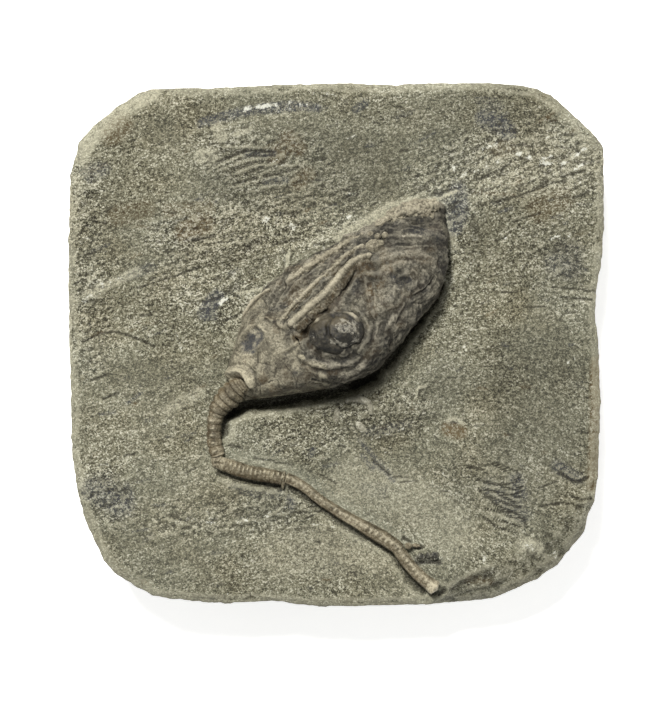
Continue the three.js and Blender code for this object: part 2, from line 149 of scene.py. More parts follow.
# The stem: x, y, height of its middle over the bed, radius. Pitch is rows of (share of the length,
# width of a ring). Relief is how far a ring stands out, and flatter how much less it does in the far half.
# Nub is the height of the bead on a ring, bead_at its angle and nub_from the share of the length where
# beads begin. Ridge is the height of the line along the top, stain and joint how dark the patches and the
# joints are, and full the relief that counts as a whole crest.
STEM = {
    "stem_upper": {
        "points": [
            (-10.9, -4.4, 1.75, 1.15), (-11.75, -5.05, 1.6, 1.2), (-12.5, -5.8, 1.3, 1.2),
            (-13.3, -6.6, 0.95, 1.16), (-14.1, -7.55, 0.7, 0.98), (-14.6, -8.8, 0.5, 0.84),
            (-14.7, -10.0, 0.4, 0.78), (-14.7, -11.3, 0.35, 0.78), (-14.5, -12.4, 0.35, 0.8),
            (-14.25, -13.2, 0.35, 0.8),
        ],
        "pitch": [
            (0, 0.3), (0.08, 0.3), (0.1, 0.92), (0.42, 0.92), (0.45, 0.4), (0.5, 0.4), (0.53, 0.95), (1, 0.8),
        ],
        "relief": 0.22, "flatter": 0.55, "nub": 0.18, "bead_at": 1.35, "nub_from": 0.5,
        "ridge": 0.0, "stain": 0.7, "joint": 0.35, "full": 0.08,
    },
    "stem_middle": {
        "points": [
            (-13.5, -14.3, 0.35, 0.8), (-12.4, -14.7, 0.35, 0.84), (-11.2, -15.1, 0.35, 0.84),
            (-9.9, -15.4, 0.35, 0.82), (-8.6, -15.6, 0.35, 0.84), (-7.5, -15.8, 0.35, 0.8),
            (-6.6, -16.0, 0.35, 0.74),
        ],
        "pitch": [(0, 0.5), (1, 0.58)],
        "relief": 0.04, "flatter": 0, "nub": 0.22, "bead_at": 1.95, "nub_from": 0.0,
        "ridge": 0.0, "stain": 0.3, "joint": 0.35, "full": 0.08,
    },
    "stem_lower": {
        "points": [
            (-6.0, -15.95, 0.32, 0.68), (-5.0, -16.4, 0.3, 0.62), (-4.2, -16.85, 0.3, 0.6),
            (-3.3, -17.5, 0.3, 0.6), (-1.9, -18.65, 0.3, 0.6), (1.0, -20.5, 0.3, 0.64),
            (2.6, -21.4, 0.3, 0.68), (4.2, -22.35, 0.32, 0.78), (5.6, -23.15, 0.35, 0.86),
            (6.9, -24.0, 0.35, 0.84), (7.5, -24.55, 0.35, 0.8),
        ],
        "pitch": [(0, 0.5), (0.4, 0.7), (1, 0.72)],
        "relief": 0.014, "flatter": 0, "nub": 0.0, "bead_at": 1.6, "nub_from": 0.0,
        "ridge": 0.1, "stain": 0.3, "joint": 0.15, "full": 0.1,
    },
    "stem_end": {
        "points": [
            (7.3, -24.4, 0.33, 0.72), (8.1, -25.5, 0.38, 0.74), (8.7, -26.3, 0.42, 0.72),
            (9.6, -27.3, 0.55, 0.74), (10.6, -28.2, 0.7, 0.76), (11.9, -29.2, 0.85, 0.88),
        ],
        "pitch": [(0, 0.66), (1, 0.7)],
        "relief": 0.02, "flatter": 0, "nub": 0.0, "bead_at": 1.6, "nub_from": 0.0,
        "ridge": 0.1, "stain": 0.3, "joint": 0.15, "full": 0.1,
    },
}

# Small pieces lying in the bed: x, y, height of the middle over the bed, half sizes, turn.
LUMPS = {
    "nodal_collar": {"at": (-6.35, -16.2, 0.35), "size": (0.26, 1.08, 0.84), "turn": -6},
    "loose_columnal_1": {"at": (-14.3, -13.75, 0.2), "size": (1.0, 0.7, 0.78), "turn": 70},
    "loose_columnal_2": {"at": (-13.75, -14.3, 0.25), "size": (0.8, 0.85, 0.74), "turn": 25},
    "cirrus_root": {"at": (8.65, -24.15, 0.3), "size": (0.42, 0.4, 0.4), "turn": -25},
    "cirrus_tip": {"at": (9.6, -24.1, 0.1), "size": (0.5, 0.24, 0.26), "turn": -8},
    "mineral_grain_1": {"at": (10.2, -25.55, 0.05), "size": (0.58, 0.5, 0.4), "turn": 0},
    "mineral_grain_2": {"at": (11.1, -25.35, 0.0), "size": (0.4, 0.38, 0.32), "turn": 20},
    "mineral_grain_3": {"at": (11.85, -25.4, 0.05), "size": (0.6, 0.55, 0.42), "turn": -10},
    "shell_chip_lens": {"at": (0.05, -8.4, 0.0), "size": (0.4, 0.9, 0.3), "turn": -6},
    "shell_chip_dome": {"at": (2.95, -9.85, 0.0), "size": (0.85, 0.5, 0.35), "turn": -50},
}
# The curved shell fragment, as seen from above.
SHELL_ARC = [(1.1, -6.65), (2.6, -6.45), (3.9, -7.05), (4.2, -8.3)]

# Strokes on the bed: kind, half width, strength and the places that it runs through. Where strokes of one
# kind meet, the strongest holds.
BED_STROKES = [
    # Ground that is rougher and more spangled than the rest.
    ("rough", 5.0, 0.9, [(-13.0, 22.0), (-4.0, 21.6)]),
    ("rough", 3.5, 0.9, [(-31.0, 20.0), (-30.0, 10.0), (-30.0, -2.0)]),
    ("rough", 6.5, 1.0, [(13.0, 19.0), (20.0, 22.0), (30.0, 22.0)]),
    ("rough", 3.0, 0.9, [(14.0, 16.0), (14.0, 12.0)]),
    ("rough", 5.0, 1.0, [(-19.0, 13.0), (-9.0, 14.4), (0.0, 17.0)]),
    ("rough", 5.0, 0.5, [(24.0, 12.0), (29.0, 6.0)]),
    ("rough", 4.5, 0.7, [(-20.0, 8.0), (-12.0, 5.0)]),
    ("rough", 3.5, 0.7, [(0.0, -10.0), (9.0, -8.0)]),
    ("rough", 3.0, 0.6, [(-8.0, -11.0), (-3.0, -12.0)]),
    ("rough", 4.5, 0.35, [(15.0, -15.0), (22.0, -20.0)]),
    ("rough", 4.0, 0.9, [(-28.4, -17.4), (-26.4, -19.4)]),
    ("rough", 3.0, 0.7, [(-20.0, -21.0), (-5.0, -20.0)]),
    # Ground that is darker than the rest.
    ("shade", 7.0, 0.35, [(2.0, 24.0), (14.0, 25.0), (22.0, 27.0)]),
    ("shade", 6.5, 0.7, [(-12.0, 21.0), (-3.0, 22.0), (4.0, 21.0)]),
    ("shade", 5.0, 0.5, [(-9.0, 18.6), (-2.0, 20.6)]),
    ("shade", 4.0, 0.25, [(-18.0, 13.0), (-12.0, 11.0)]),
    ("shade", 6.0, 0.3, [(20.0, 13.0), (24.0, 9.0)]),
    ("shade", 7.0, 0.2, [(27.0, 12.0), (28.0, 4.0)]),
    ("shade", 2.6, 0.8, [(27.6, 11.0), (28.4, 8.6)]),
    ("shade", 9.5, 0.58, [(24.0, -5.0), (25.0, -13.0)]),
    ("shade", 3.5, 0.4, [(2.0, -9.0), (9.0, -8.4), (13.0, -4.0)]),
    ("shade", 4.0, 0.45, [(16.0, -16.0), (21.0, -20.0)]),
    ("shade", 3.0, 0.3, [(-28.5, -17.6), (-26.0, -19.0)]),
    ("shade", 4.0, 0.3, [(-12.0, -18.0), (-6.0, -19.6)]),
    ("shade", 3.0, 0.55, [(15.0, -29.5), (20.0, -28.4), (25.0, -25.6), (28.6, -22.4)]),
    # Ground and thin films that are paler.
    ("pale", 1.2, 0.8, [(-14.3, 26.1), (-13.9, 25.2)]),
    ("pale", 0.6, 0.5, [(-12.0, 25.4), (-10.6, 26.0)]),
    ("pale", 1.3, 0.8, [(-16.2, 22.8), (-15.0, 22.7)]),
    ("pale", 1.2, 0.6, [(-31.0, 22.6), (-27.6, 27.4), (-22.0, 30.2)]),
    ("pale", 5.0, 0.2, [(20.0, 21.0), (28.0, 22.0)]),
    ("pale", 0.35, 0.9, [(11.8, 17.4), (14.4, 18.6)]),
    ("pale", 0.4, 0.9, [(6.2, 17.0), (9.0, 17.1)]),
    ("pale", 0.7, 0.9, [(1.2, 14.2), (1.6, 13.8)]),
    # Painted light: this pale band lies on the bank that rises to the crown's upper-left side and faces the
    # light.
    ("pale", 0.9, 0.8, [(0.4, 13.0), (3.0, 14.5), (5.4, 16.0), (8.4, 17.0), (12.2, 17.3)]),
    ("pale", 0.4, 1.0, [(0.2, 12.5), (1.8, 13.2), (3.6, 14.2)]),
    ("pale", 0.3, 0.9, [(-6.2, 8.6), (-5.9, 9.8), (-5.7, 11.3)]),
    ("pale", 0.8, 0.7, [(-29.8, 6.4), (-27.4, 7.4), (-24.0, 8.9)]),
    ("pale", 0.3, 0.7, [(-11.9, 6.3), (-7.9, 6.9)]),
    ("pale", 0.3, 0.8, [(9.6, -6.2), (9.8, -5.2), (10.8, -4.9)]),
    ("pale", 1.1, 0.55, [(-20.4, -7.8), (-18.6, -6.8), (-16.6, -5.8)]),
    ("pale", 0.35, 0.9, [(13.4, -9.2), (14.2, -8.8), (15.1, -9.4)]),
    ("pale", 4.0, 0.4, [(2.0, -16.5), (10.0, -19.0), (14.0, -23.0)]),
    ("pale", 1.3, 0.8, [(22.4, -24.0), (24.2, -24.4)]),
    ("pale", 4.5, 0.35, [(-6.0, -25.0), (4.0, -24.5)]),
    # Bright crumbs.
    ("white", 0.4, 0.9, [(-3.6, 30.3), (-1.7, 30.4), (0.4, 30.1)]),
    ("white", 0.8, 1.0, [(-13.4, 27.8), (-10.9, 28.5), (-8.5, 28.9), (-5.3, 29.2), (-2.3, 28.8)]),
    ("white", 0.3, 0.8, [(20.2, 27.0), (21.0, 25.6)]),
    ("white", 0.75, 0.55, [(-17.1, 26.2), (-14.6, 27.0), (-11.7, 27.8), (-6.4, 28.4), (-2.3, 28.9)]),
    ("white", 0.3, 1.0, [(-2.9, 26.2)]),
    ("white", 0.35, 0.8, [(25.0, 24.6), (26.4, 26.0), (27.6, 26.8)]),
    ("white", 0.8, 0.9, [(17.8, 24.0), (19.2, 24.2)]),
    ("white", 0.4, 0.8, [(23.6, 24.0), (25.4, 24.6)]),
    ("white", 0.55, 1.1, [(21.0, 22.9), (22.5, 23.1), (23.8, 22.4), (26.0, 22.9)]),
    ("white", 0.55, 1.1, [(24.6, 21.9), (27.7, 22.1), (29.4, 23.4), (31.0, 23.9)]),
    ("white", 0.35, 0.8, [(-7.9, 21.4), (-5.5, 21.9), (-4.0, 22.6)]),
    ("white", 0.8, 1.0, [(14.2, 21.4), (16.0, 21.6)]),
    ("white", 0.5, 1.0, [(27.0, 20.6), (29.2, 21.5), (31.0, 22.6)]),
    ("white", 0.55, 0.9, [(13.0, 19.2), (15.4, 20.6), (18.7, 21.8), (20.7, 22.9)]),
    ("white", 0.3, 0.7, [(28.0, 19.2), (30.0, 19.9), (31.4, 20.8)]),
    ("white", 0.5, 0.8, [(-5.6, 16.6), (-5.0, 16.5)]),
    ("white", 0.7, 0.9, [(16.6, 16.3), (17.8, 15.9)]),
    ("white", 0.3, 1.0, [(4.5, 16.2)]),
    ("white", 1.0, 0.9, [(-9.4, 15.4), (-6.9, 14.8), (-5.2, 14.1)]),
    ("white", 0.6, 1.0, [(0.9, 15.3), (1.9, 15.6)]),
    ("white", 0.4, 1.0, [(-7.0, 14.3), (-5.4, 14.2)]),
    ("white", 0.6, 0.9, [(16.2, 13.1), (16.9, 12.9)]),
    ("white", 0.7, 0.8, [(25.8, 12.9), (28.2, 13.3)]),
    ("white", 0.25, 1.0, [(20.2, 12.8), (21.3, 13.5)]),
    ("white", 0.7, 1.0, [(-30.8, 12.6), (-29.2, 13.5)]),
    ("white", 0.6, 1.0, [(-2.9, 12.0), (-1.6, 11.6)]),
    ("white", 0.8, 0.8, [(-28.3, 7.5), (-26.1, 7.9)]),
    ("white", 0.6, 0.7, [(-30.2, 6.0), (-28.0, 6.9), (-26.3, 7.6)]),
    ("white", 0.55, 0.65, [(-18.4, 5.4), (-18.9, 3.4), (-19.3, 1.6), (-18.6, -0.6)]),
    ("white", 0.8, 0.7, [(-31.0, 5.2), (-28.3, 6.6)]),
    ("white", 0.3, 0.8, [(-16.4, 5.1), (-16.2, 4.6)]),
    ("white", 0.6, 1.5, [(-13.9, 5.1), (-13.3, 5.8)]),
    ("white", 0.4, 0.8, [(14.9, -0.3), (15.6, -0.1)]),
    ("white", 0.6, 1.0, [(27.6, -2.1), (28.6, -1.6)]),
    ("white", 0.3, 0.9, [(11.6, -3.4), (12.2, -3.3)]),
    ("white", 0.9, 0.45, [(-29.6, -7.2), (-26.1, -6.6)]),
    ("white", 1.0, 0.5, [(-20.0, -7.6), (-16.8, -6.1)]),
    ("white", 0.35, 0.9, [(13.4, -8.9)]),
    ("white", 0.3, 0.7, [(10.8, -15.4), (11.8, -16.7)]),
    ("white", 0.35, 0.9, [(12.8, -15.4), (13.9, -16.8)]),
    ("white", 0.3, 0.7, [(15.2, -16.7), (15.9, -17.9)]),
    ("white", 1.4, 0.5, [(-29.0, -17.6), (-26.0, -19.2)]),
    ("white", 0.3, 0.8, [(-19.3, -18.5)]),
    ("white", 0.6, 0.6, [(10.0, -18.9), (10.5, -20.1)]),
    ("white", 0.6, 0.5, [(-15.6, -20.1), (-14.4, -19.7)]),
    ("white", 0.4, 0.6, [(-15.4, -20.7), (-10.4, -20.8), (-7.4, -20.0), (-5.2, -19.0)]),
    ("white", 0.5, 0.8, [(-17.3, -20.95), (-13.9, -21.5), (-10.7, -21.1), (-8.7, -20.8), (-8.1, -20.2)]),
    ("white", 0.7, 0.6, [(-19.3, -21.4), (-17.4, -20.8)]),
    ("white", 1.2, 0.7, [(22.4, -24.0), (24.2, -24.4)]),
    ("white", 0.7, 0.6, [(26.4, -24.0), (26.6, -26.0)]),
    ("white", 0.6, 0.4, [(-17.9, -24.3), (-16.8, -24.1)]),
    ("white", 1.3, 0.75, [(17.9, -25.8), (18.6, -27.0)]),
    ("white", 0.7, 0.6, [(14.6, -26.4), (15.0, -27.2)]),
    # Blue-grey films.
    ("slate", 1.0, 0.5, [(17.6, 29.2), (19.6, 28.8)]),
    ("slate", 0.75, 0.9, [(2.4, 28.5), (3.4, 29.2)]),
    ("slate", 1.5, 1.3, [(17.8, 27.4), (19.6, 26.7), (20.6, 25.8)]),
    ("slate", 0.5, 1.0, [(-13.0, 27.3), (-11.0, 27.9), (-6.4, 28.4), (-2.6, 28.8)]),
    ("slate", 1.3, 1.0, [(17.8, 27.2), (19.4, 26.4)]),
    ("slate", 0.8, 1.1, [
        (-16.2, 26.8), (-13.4, 27.6), (-10.9, 28.2), (-8.0, 28.7), (-5.3, 28.9), (-2.3, 28.6),
    ]),
    ("slate", 0.7, 0.9, [(-10.7, 23.1), (-7.6, 23.1)]),
    ("slate", 0.9, 0.5, [(-30.4, 21.0), (-28.6, 21.6)]),
    ("slate", 1.2, 0.7, [(-29.6, 20.4), (-28.0, 21.2)]),
    ("slate", 0.55, 0.9, [(-8.6, 19.7), (-6.0, 19.9)]),
    ("slate", 1.0, 1.0, [(14.6, 19.2), (14.9, 17.6), (14.3, 15.6), (13.8, 14.6)]),
    ("slate", 1.5, 1.4, [(14.6, 18.6), (14.8, 16.2), (14.0, 14.2)]),
    ("slate", 0.9, 0.7, [(12.4, 18.2), (13.2, 17.0), (13.4, 15.4)]),
    ("slate", 1.6, 0.45, [(27.6, 11.7), (28.8, 11.5)]),
    ("slate", 2.1, 0.65, [(26.6, 10.0), (28.2, 9.4)]),
    ("slate", 0.8, 0.7, [(-25.0, 8.4), (-22.4, 9.4)]),
    ("slate", 0.7, 0.5, [(-26.0, 8.0), (-23.4, 9.2)]),
    ("slate", 1.3, 1.4, [(-15.8, 3.9), (-15.2, 4.8), (-14.4, 5.8)]),
    ("slate", 0.8, 1.0, [(-14.8, 3.5), (-15.0, 4.6)]),
    ("slate", 0.9, 0.5, [(3.6, -10.5), (6.2, -10.1), (8.4, -9.6)]),
    ("slate", 0.5, 0.8, [(2.9, -11.5), (4.7, -13.7), (6.4, -15.4)]),
    ("slate", 0.5, 0.9, [(-3.1, -13.2), (-2.8, -12.5)]),
    ("slate", 0.4, 1.0, [(3.1, -13.3), (4.5, -15.0)]),
    ("slate", 0.5, 1.2, [(4.6, -14.2), (5.8, -15.2), (6.8, -16.3)]),
    ("slate", 1.1, 0.9, [(26.6, -14.6), (29.0, -16.0)]),
    ("slate", 1.3, 1.0, [(21.6, -16.2), (22.2, -18.0)]),
    ("slate", 2.6, 0.5, [(-28.2, -17.0), (-26.4, -18.8)]),
    ("slate", 0.6, 0.7, [(-25.2, -17.0), (-24.6, -18.6), (-25.0, -20.2)]),
    ("slate", 0.8, 0.5, [(-12.4, -17.0), (-9.4, -17.9), (-6.8, -17.9)]),
    ("slate", 1.7, 0.3, [(18.6, -17.0), (20.8, -18.8)]),
    ("slate", 1.2, 0.4, [(3.5, -17.2), (5.5, -17.6)]),
    ("slate", 2.0, 0.9, [(-29.5, -17.4), (-26.0, -19.2)]),
    ("slate", 1.5, 0.7, [(18.6, -17.4), (20.8, -19.0), (22.4, -20.4)]),
    ("slate", 0.7, 0.9, [(-5.6, -18.4), (-5.3, -19.2)]),
    ("slate", 0.5, 0.7, [(-5.8, -18.6), (-5.4, -19.8)]),
    ("slate", 0.7, 0.6, [(9.4, -26.0), (12.4, -25.9)]),
    # Rust-brown stains.
    ("brown", 1.9, 0.6, [(-27.0, 25.4), (-25.8, 26.6)]),
    ("brown", 1.5, 0.7, [(-5.8, 24.9), (-4.6, 23.8)]),
    ("brown", 1.4, 0.5, [(19.4, 23.5), (20.8, 23.9)]),
    ("brown", 1.6, 0.8, [(-7.2, 22.8), (-5.8, 24.4)]),
    ("brown", 1.3, 0.7, [(-4.6, 19.6), (-3.4, 20.6)]),
    ("brown", 2.2, 0.45, [(24.5, 16.4), (27.0, 17.6)]),
    ("brown", 1.4, 0.4, [(-20.0, 16.2), (-15.5, 16.6)]),
    ("brown", 1.8, 0.4, [(-26.3, 15.6), (-23.0, 16.4)]),
    ("brown", 1.7, 0.8, [(-17.9, 14.0), (-16.0, 14.6)]),
    ("brown", 1.6, 0.8, [(-18.4, 13.6), (-16.6, 14.4)]),
    ("brown", 0.9, 1.1, [(31.3, -2.0), (31.1, -10.0), (30.8, -17.0)]),
    ("brown", 1.3, 1.2, [(13.6, -10.0), (14.8, -10.4)]),
    ("brown", 0.7, 0.6, [(16.0, -28.2), (18.6, -28.6)]),
    # Raised lines.
    ("ridge", 0.5, 0.5, [(-17.6, 25.6), (-13.9, 26.2), (-9.0, 27.4), (-3.0, 28.1)]),
    ("ridge", 0.45, 1.0, [(-13.5, 23.9), (-8.4, 23.8)]),
    ("ridge", 0.35, 1.0, [(-15.4, 20.9), (-13.0, 22.2), (-9.4, 23.6)]),
    ("ridge", 0.35, 1.2, [(-12.0, 20.8), (-9.6, 21.6), (-7.0, 22.0)]),
    ("ridge", 0.4, 0.8, [(-8.9, 20.7), (-6.4, 21.5), (-3.1, 22.1)]),
    ("ridge", 0.5, 1.0, [(-14.9, 20.5), (-12.2, 21.9), (-8.9, 22.6), (-6.4, 23.0)]),
    ("ridge", 0.4, 0.9, [(-8.8, 19.1), (-6.7, 19.3), (-4.7, 20.2)]),
    ("ridge", 0.3, 0.9, [(11.8, 17.4), (14.4, 18.6)]),
    ("ridge", 0.3, 1.0, [(0.2, 12.5), (1.8, 13.2), (3.6, 14.2)]),
    ("ridge", 0.45, 0.6, [(-17.0, 11.6), (-12.5, 12.2), (-9.0, 13.1)]),
    ("ridge", 0.3, 1.3, [(-6.2, 8.6), (-5.9, 9.8), (-5.7, 11.3)]),
    ("ridge", 0.5, 0.7, [(-23.0, 8.3), (-19.0, 9.8), (-15.0, 10.4)]),
    ("ridge", 0.25, 0.9, [(-11.9, 6.3), (-7.9, 6.9)]),
    ("ridge", 0.25, 0.9, [(9.6, -6.2), (9.8, -5.2), (10.8, -4.9)]),
    ("ridge", 0.5, 0.6, [(-20.4, -21.0), (-13.4, -22.3), (-6.4, -21.3)]),
    ("ridge", 0.5, 0.6, [(-22.5, -23.2), (-14.6, -21.6), (-8.9, -20.9), (-6.4, -19.4)]),
    # Cracks and other cut lines.
    ("groove", 0.25, 0.9, [(-10.9, 22.9), (-7.4, 22.8)]),
    ("groove", 0.35, 1.0, [(-14.0, 22.2), (-11.0, 23.4), (-7.8, 23.3)]),
    ("groove", 0.25, 1.0, [(-8.7, 20.3), (-6.2, 20.9), (-4.5, 21.5)]),
    ("groove", 0.25, 1.0, [(16.9, 19.9), (19.9, 21.3), (21.0, 22.0)]),
    ("groove", 0.35, 0.8, [(-12.4, 19.4), (-9.6, 20.2)]),
    ("groove", 0.25, 0.8, [(19.0, 17.2), (22.5, 18.2), (26.0, 19.6)]),
    ("groove", 0.35, 0.8, [(-17.4, 12.6), (-14.8, 13.2)]),
    ("groove", 0.25, 0.7, [(19.2, 12.6), (20.3, 13.0)]),
    ("groove", 0.25, 0.7, [(26.1, 7.0), (29.0, 6.8), (31.4, 6.4)]),
    ("groove", 0.25, 0.7, [(-24.0, 6.9), (-20.0, 8.2), (-16.5, 9.5)]),
    ("groove", 0.25, 0.9, [(19.9, 6.4), (21.8, 6.4)]),
    ("groove", 0.25, 0.7, [(27.0, 5.9), (29.4, 5.6), (31.2, 5.6)]),
    ("groove", 0.25, 1.0, [(-23.7, 3.6), (-22.3, 3.6)]),
    ("groove", 0.25, 0.8, [(-14.3, 2.9), (-12.6, 3.3), (-11.4, 4.1)]),
    ("groove", 0.25, 1.0, [(-27.5, 1.6), (-26.1, 1.5), (-24.0, 0.8), (-22.0, -0.1)]),
    ("groove", 0.25, 0.8, [(-30.5, 0.4), (-28.8, 1.3), (-27.5, 1.6)]),
    ("groove", 0.25, 0.9, [(-12.9, -12.0), (-11.4, -12.4)]),
    ("groove", 0.25, 0.9, [(0.3, -12.0), (0.9, -12.1)]),
    ("groove", 0.25, 0.7, [(-9.8, -13.5), (-7.4, -14.0), (-5.3, -14.4)]),
    ("groove", 0.25, 1.0, [(4.3, -13.8), (5.4, -14.7), (6.4, -15.6)]),
    ("groove", 0.25, 0.9, [(18.9, -14.1), (21.7, -15.2)]),
    ("groove", 0.25, 1.0, [(18.7, -14.3), (20.7, -15.3)]),
    ("groove", 0.25, 0.9, [(15.8, -14.5), (17.6, -15.0)]),
    ("groove", 0.25, 0.9, [(15.7, -14.7), (17.3, -14.9)]),
    ("groove", 0.4, 1.1, [(26.9, -15.3), (28.6, -16.4), (30.2, -16.0)]),
    ("groove", 0.25, 0.8, [(-1.9, -15.6), (0.0, -16.65)]),
    ("groove", 0.25, 0.8, [(6.9, -15.9), (8.6, -15.9)]),
    ("groove", 0.25, 1.0, [(22.1, -15.9), (21.2, -16.5), (22.2, -17.5), (21.1, -18.1), (22.2, -18.3)]),
    ("groove", 0.25, 1.0, [(16.9, -16.2), (19.9, -16.8), (22.0, -16.3)]),
    ("groove", 0.25, 0.7, [(7.75, -16.5), (9.8, -16.4)]),
    ("groove", 0.25, 0.9, [(19.0, -16.6), (21.4, -17.4), (22.4, -17.0)]),
    ("groove", 0.25, 0.6, [(24.4, -17.2), (26.6, -16.4)]),
    ("groove", 0.25, 1.0, [(17.2, -17.4), (18.4, -18.4), (19.9, -19.5)]),
    ("groove", 0.25, 0.9, [(18.1, -17.4), (21.4, -18.2)]),
    ("groove", 0.25, 0.9, [(19.6, -18.0), (21.8, -19.0)]),
    ("groove", 0.25, 1.0, [(18.5, -18.2), (20.8, -19.2), (22.2, -19.5)]),
    ("groove", 0.35, 1.0, [(28.4, -18.2), (29.6, -18.6), (30.8, -18.4)]),
    ("groove", 0.25, 0.8, [(18.6, -19.0), (21.0, -20.6), (22.6, -20.8)]),
    ("groove", 0.25, 0.8, [(24.5, -19.4), (27.5, -19.0), (30.0, -19.6)]),
    ("groove", 0.25, 0.8, [(-3.4, -19.5), (-0.8, -19.2)]),
    ("groove", 0.25, 0.9, [(18.0, -19.7), (20.9, -20.2)]),
    ("groove", 0.27, 1.1, [(20.2, -19.7), (22.1, -20.5), (22.6, -21.2), (22.9, -21.9)]),
    ("groove", 0.25, 0.9, [(-4.6, -20.2), (-1.6, -19.9)]),
    ("groove", 0.25, 1.0, [(17.7, -20.7), (19.5, -21.9), (20.9, -22.2)]),
    ("groove", 0.25, 0.9, [(19.0, -20.8), (22.2, -21.9)]),
    ("groove", 0.4, 1.0, [(8.1, -23.3), (8.5, -23.4)]),
    ("groove", 0.35, 0.9, [(8.6, -23.5), (8.9, -23.7)]),
    ("groove", 0.35, 0.9, [(10.0, -24.1), (10.3, -24.3)]),
    ("groove", 0.4, 1.0, [(9.2, -24.4), (10.3, -24.3)]),
    ("groove", 0.5, 0.8, [(9.8, -26.2), (12.4, -26.1)]),
]

# Where the bed is lifted or dug beside the fossil: half width, height, places.
BED_BANKS = [
    (1.4, -2.6, [
        (-12.6, -8.0), (-11.2, -7.2), (-9.4, -7.1), (-7.3, -6.7), (-5.1, -6.3), (-3.0, -5.9), (-0.1, -5.4),
        (2.4, -4.7), (4.5, -3.6),
    ]),
    (1.0, -1.7, [(2.4, -4.7), (4.7, -3.3), (6.7, -1.4), (8.2, 0.9), (9.9, 3.1)]),
    (0.7, -0.9, [(8.9, 1.9), (10.4, 3.6), (11.7, 5.2), (12.6, 7.2)]),
    (3.0, 0.75, [
        (-12.2, 0.6), (-10.6, 4.9), (-8.9, 6.6), (-6.2, 8.9), (-2.9, 11.7), (0.1, 12.9), (3.6, 14.5),
        (6.2, 16.1), (8.9, 17.2),
    ]),
    (1.6, 0.5, [(9.0, 17.3), (11.4, 17.2), (12.9, 15.6), (13.6, 12.6)]),
    (2.2, 0.35, [(14.6, 14.8), (14.9, 12.6), (14.9, 10.4), (14.6, 8.8)]),
    (1.1, -1.0, [(-12.9, -8.0), (-13.5, -8.9), (-13.6, -10.4)]),
    (0.9, -0.6, [(-13.9, -15.3), (-12.2, -15.9), (-10.4, -16.3), (-8.6, -16.6), (-7.0, -17.0)]),
    (0.9, -0.38, [
        (-5.4, -17.3), (-4.2, -17.9), (-2.4, -19.3), (0.6, -21.3), (3.8, -23.2), (6.4, -24.8), (7.4, -26.0),
    ]),
    (1.0, -0.6, [(7.9, -26.6), (9.0, -28.2), (10.3, -29.4)]),
    (0.7, -0.4, [(11.8, -30.0), (12.9, -29.6)]),
    (1.5, 0.2, [(-11.6, -13.9), (-6.4, -14.9), (0.6, -19.4), (5.4, -22.2)]),
]
# The ground beside the stem, where the grain is fine and even.
SMOOTH_HALO = [(-12.6, -13.2), (-6.4, -14.7), (0.4, -19.0), (5.3, -21.8), (8.9, -24.2)]

# Carving on the cup: half width, height (below nought it is cut in), places.
CUP_CARVING = [
    (1.1, -1.5, [(-10.9, -5.7), (-11.6, -5.0), (-12.4, -4.4), (-13.0, -4.2)]),
    (0.5, 0.5, [
        (-13.1, -3.6), (-12.6, -3.2), (-12.0, -3.0), (-11.3, -3.2), (-10.8, -3.7), (-10.5, -4.4),
        (-10.4, -5.0),
    ]),
    (0.3, -0.12, [(-12.4, -2.3), (-11.2, -2.2), (-10.3, -2.6), (-9.8, -3.3), (-9.6, -4.4), (-9.6, -5.6)]),
    (0.55, 0.3, [(-10.2, -4.3), (-9.9, -4.9)]),
    (0.2, -0.12, [(-7.3, -2.6), (-7.3, -3.9)]),
    (0.2, -0.13, [(-8.0, -4.5), (-7.5, -4.2), (-6.9, -4.3), (-6.7, -5.1)]),
    (0.18, -0.1, [(-9.3, -0.9), (-9.4, -1.9)]),
    (0.2, -0.08, [(-9.4, -1.9), (-8.4, -2.2), (-7.3, -2.6), (-5.9, -2.6)]),
    (0.2, -0.12, [(-9.1, -4.8), (-9.0, -6.2)]),
    (0.2, -0.08, [(-5.9, -2.6), (-5.0, -3.7), (-4.6, -5.2)]),
    (1.25, -0.35, [(-10.4, 0.2), (-9.6, 1.1)]),
    (0.35, 0.18, [(-11.6, 0.2), (-10.9, 1.7), (-9.6, 2.3), (-8.4, 1.6)]),
    (0.3, 0.16, [(-11.9, -0.9), (-11.2, -1.3), (-10.2, -1.2)]),
    (1.0, 0.22, [(-8.3, -3.3), (-8.4, -3.6)]),
    (1.0, 0.22, [(-6.4, -3.5), (-6.0, -4.1)]),
    (0.9, 0.18, [(-7.6, -5.4), (-7.3, -5.7)]),
    (1.1, 0.2, [(-7.6, -0.4), (-6.6, -0.9)]),
    (0.28, 0.25, [(-4.4, -1.2), (-4.0, -1.4)]),
    (0.25, 0.18, [(-5.0, -0.7), (-4.8, -1.1)]),
    (0.35, -0.25, [(-6.1, -1.0), (-5.2, -0.5), (-4.3, 0.2)]),
    (0.45, -0.4, [(-4.8, 0.7), (-4.2, 1.0), (-3.4, 1.9)]),
    (0.45, 0.25, [(-6.8, 2.4), (-6.1, 2.2), (-5.5, 2.6)]),
    (0.35, 0.2, [(-8.9, 3.1), (-8.2, 3.2), (-7.6, 2.9)]),
    (0.5, -0.25, [(-8.0, 3.7), (-7.2, 3.5), (-6.4, 3.6)]),
]

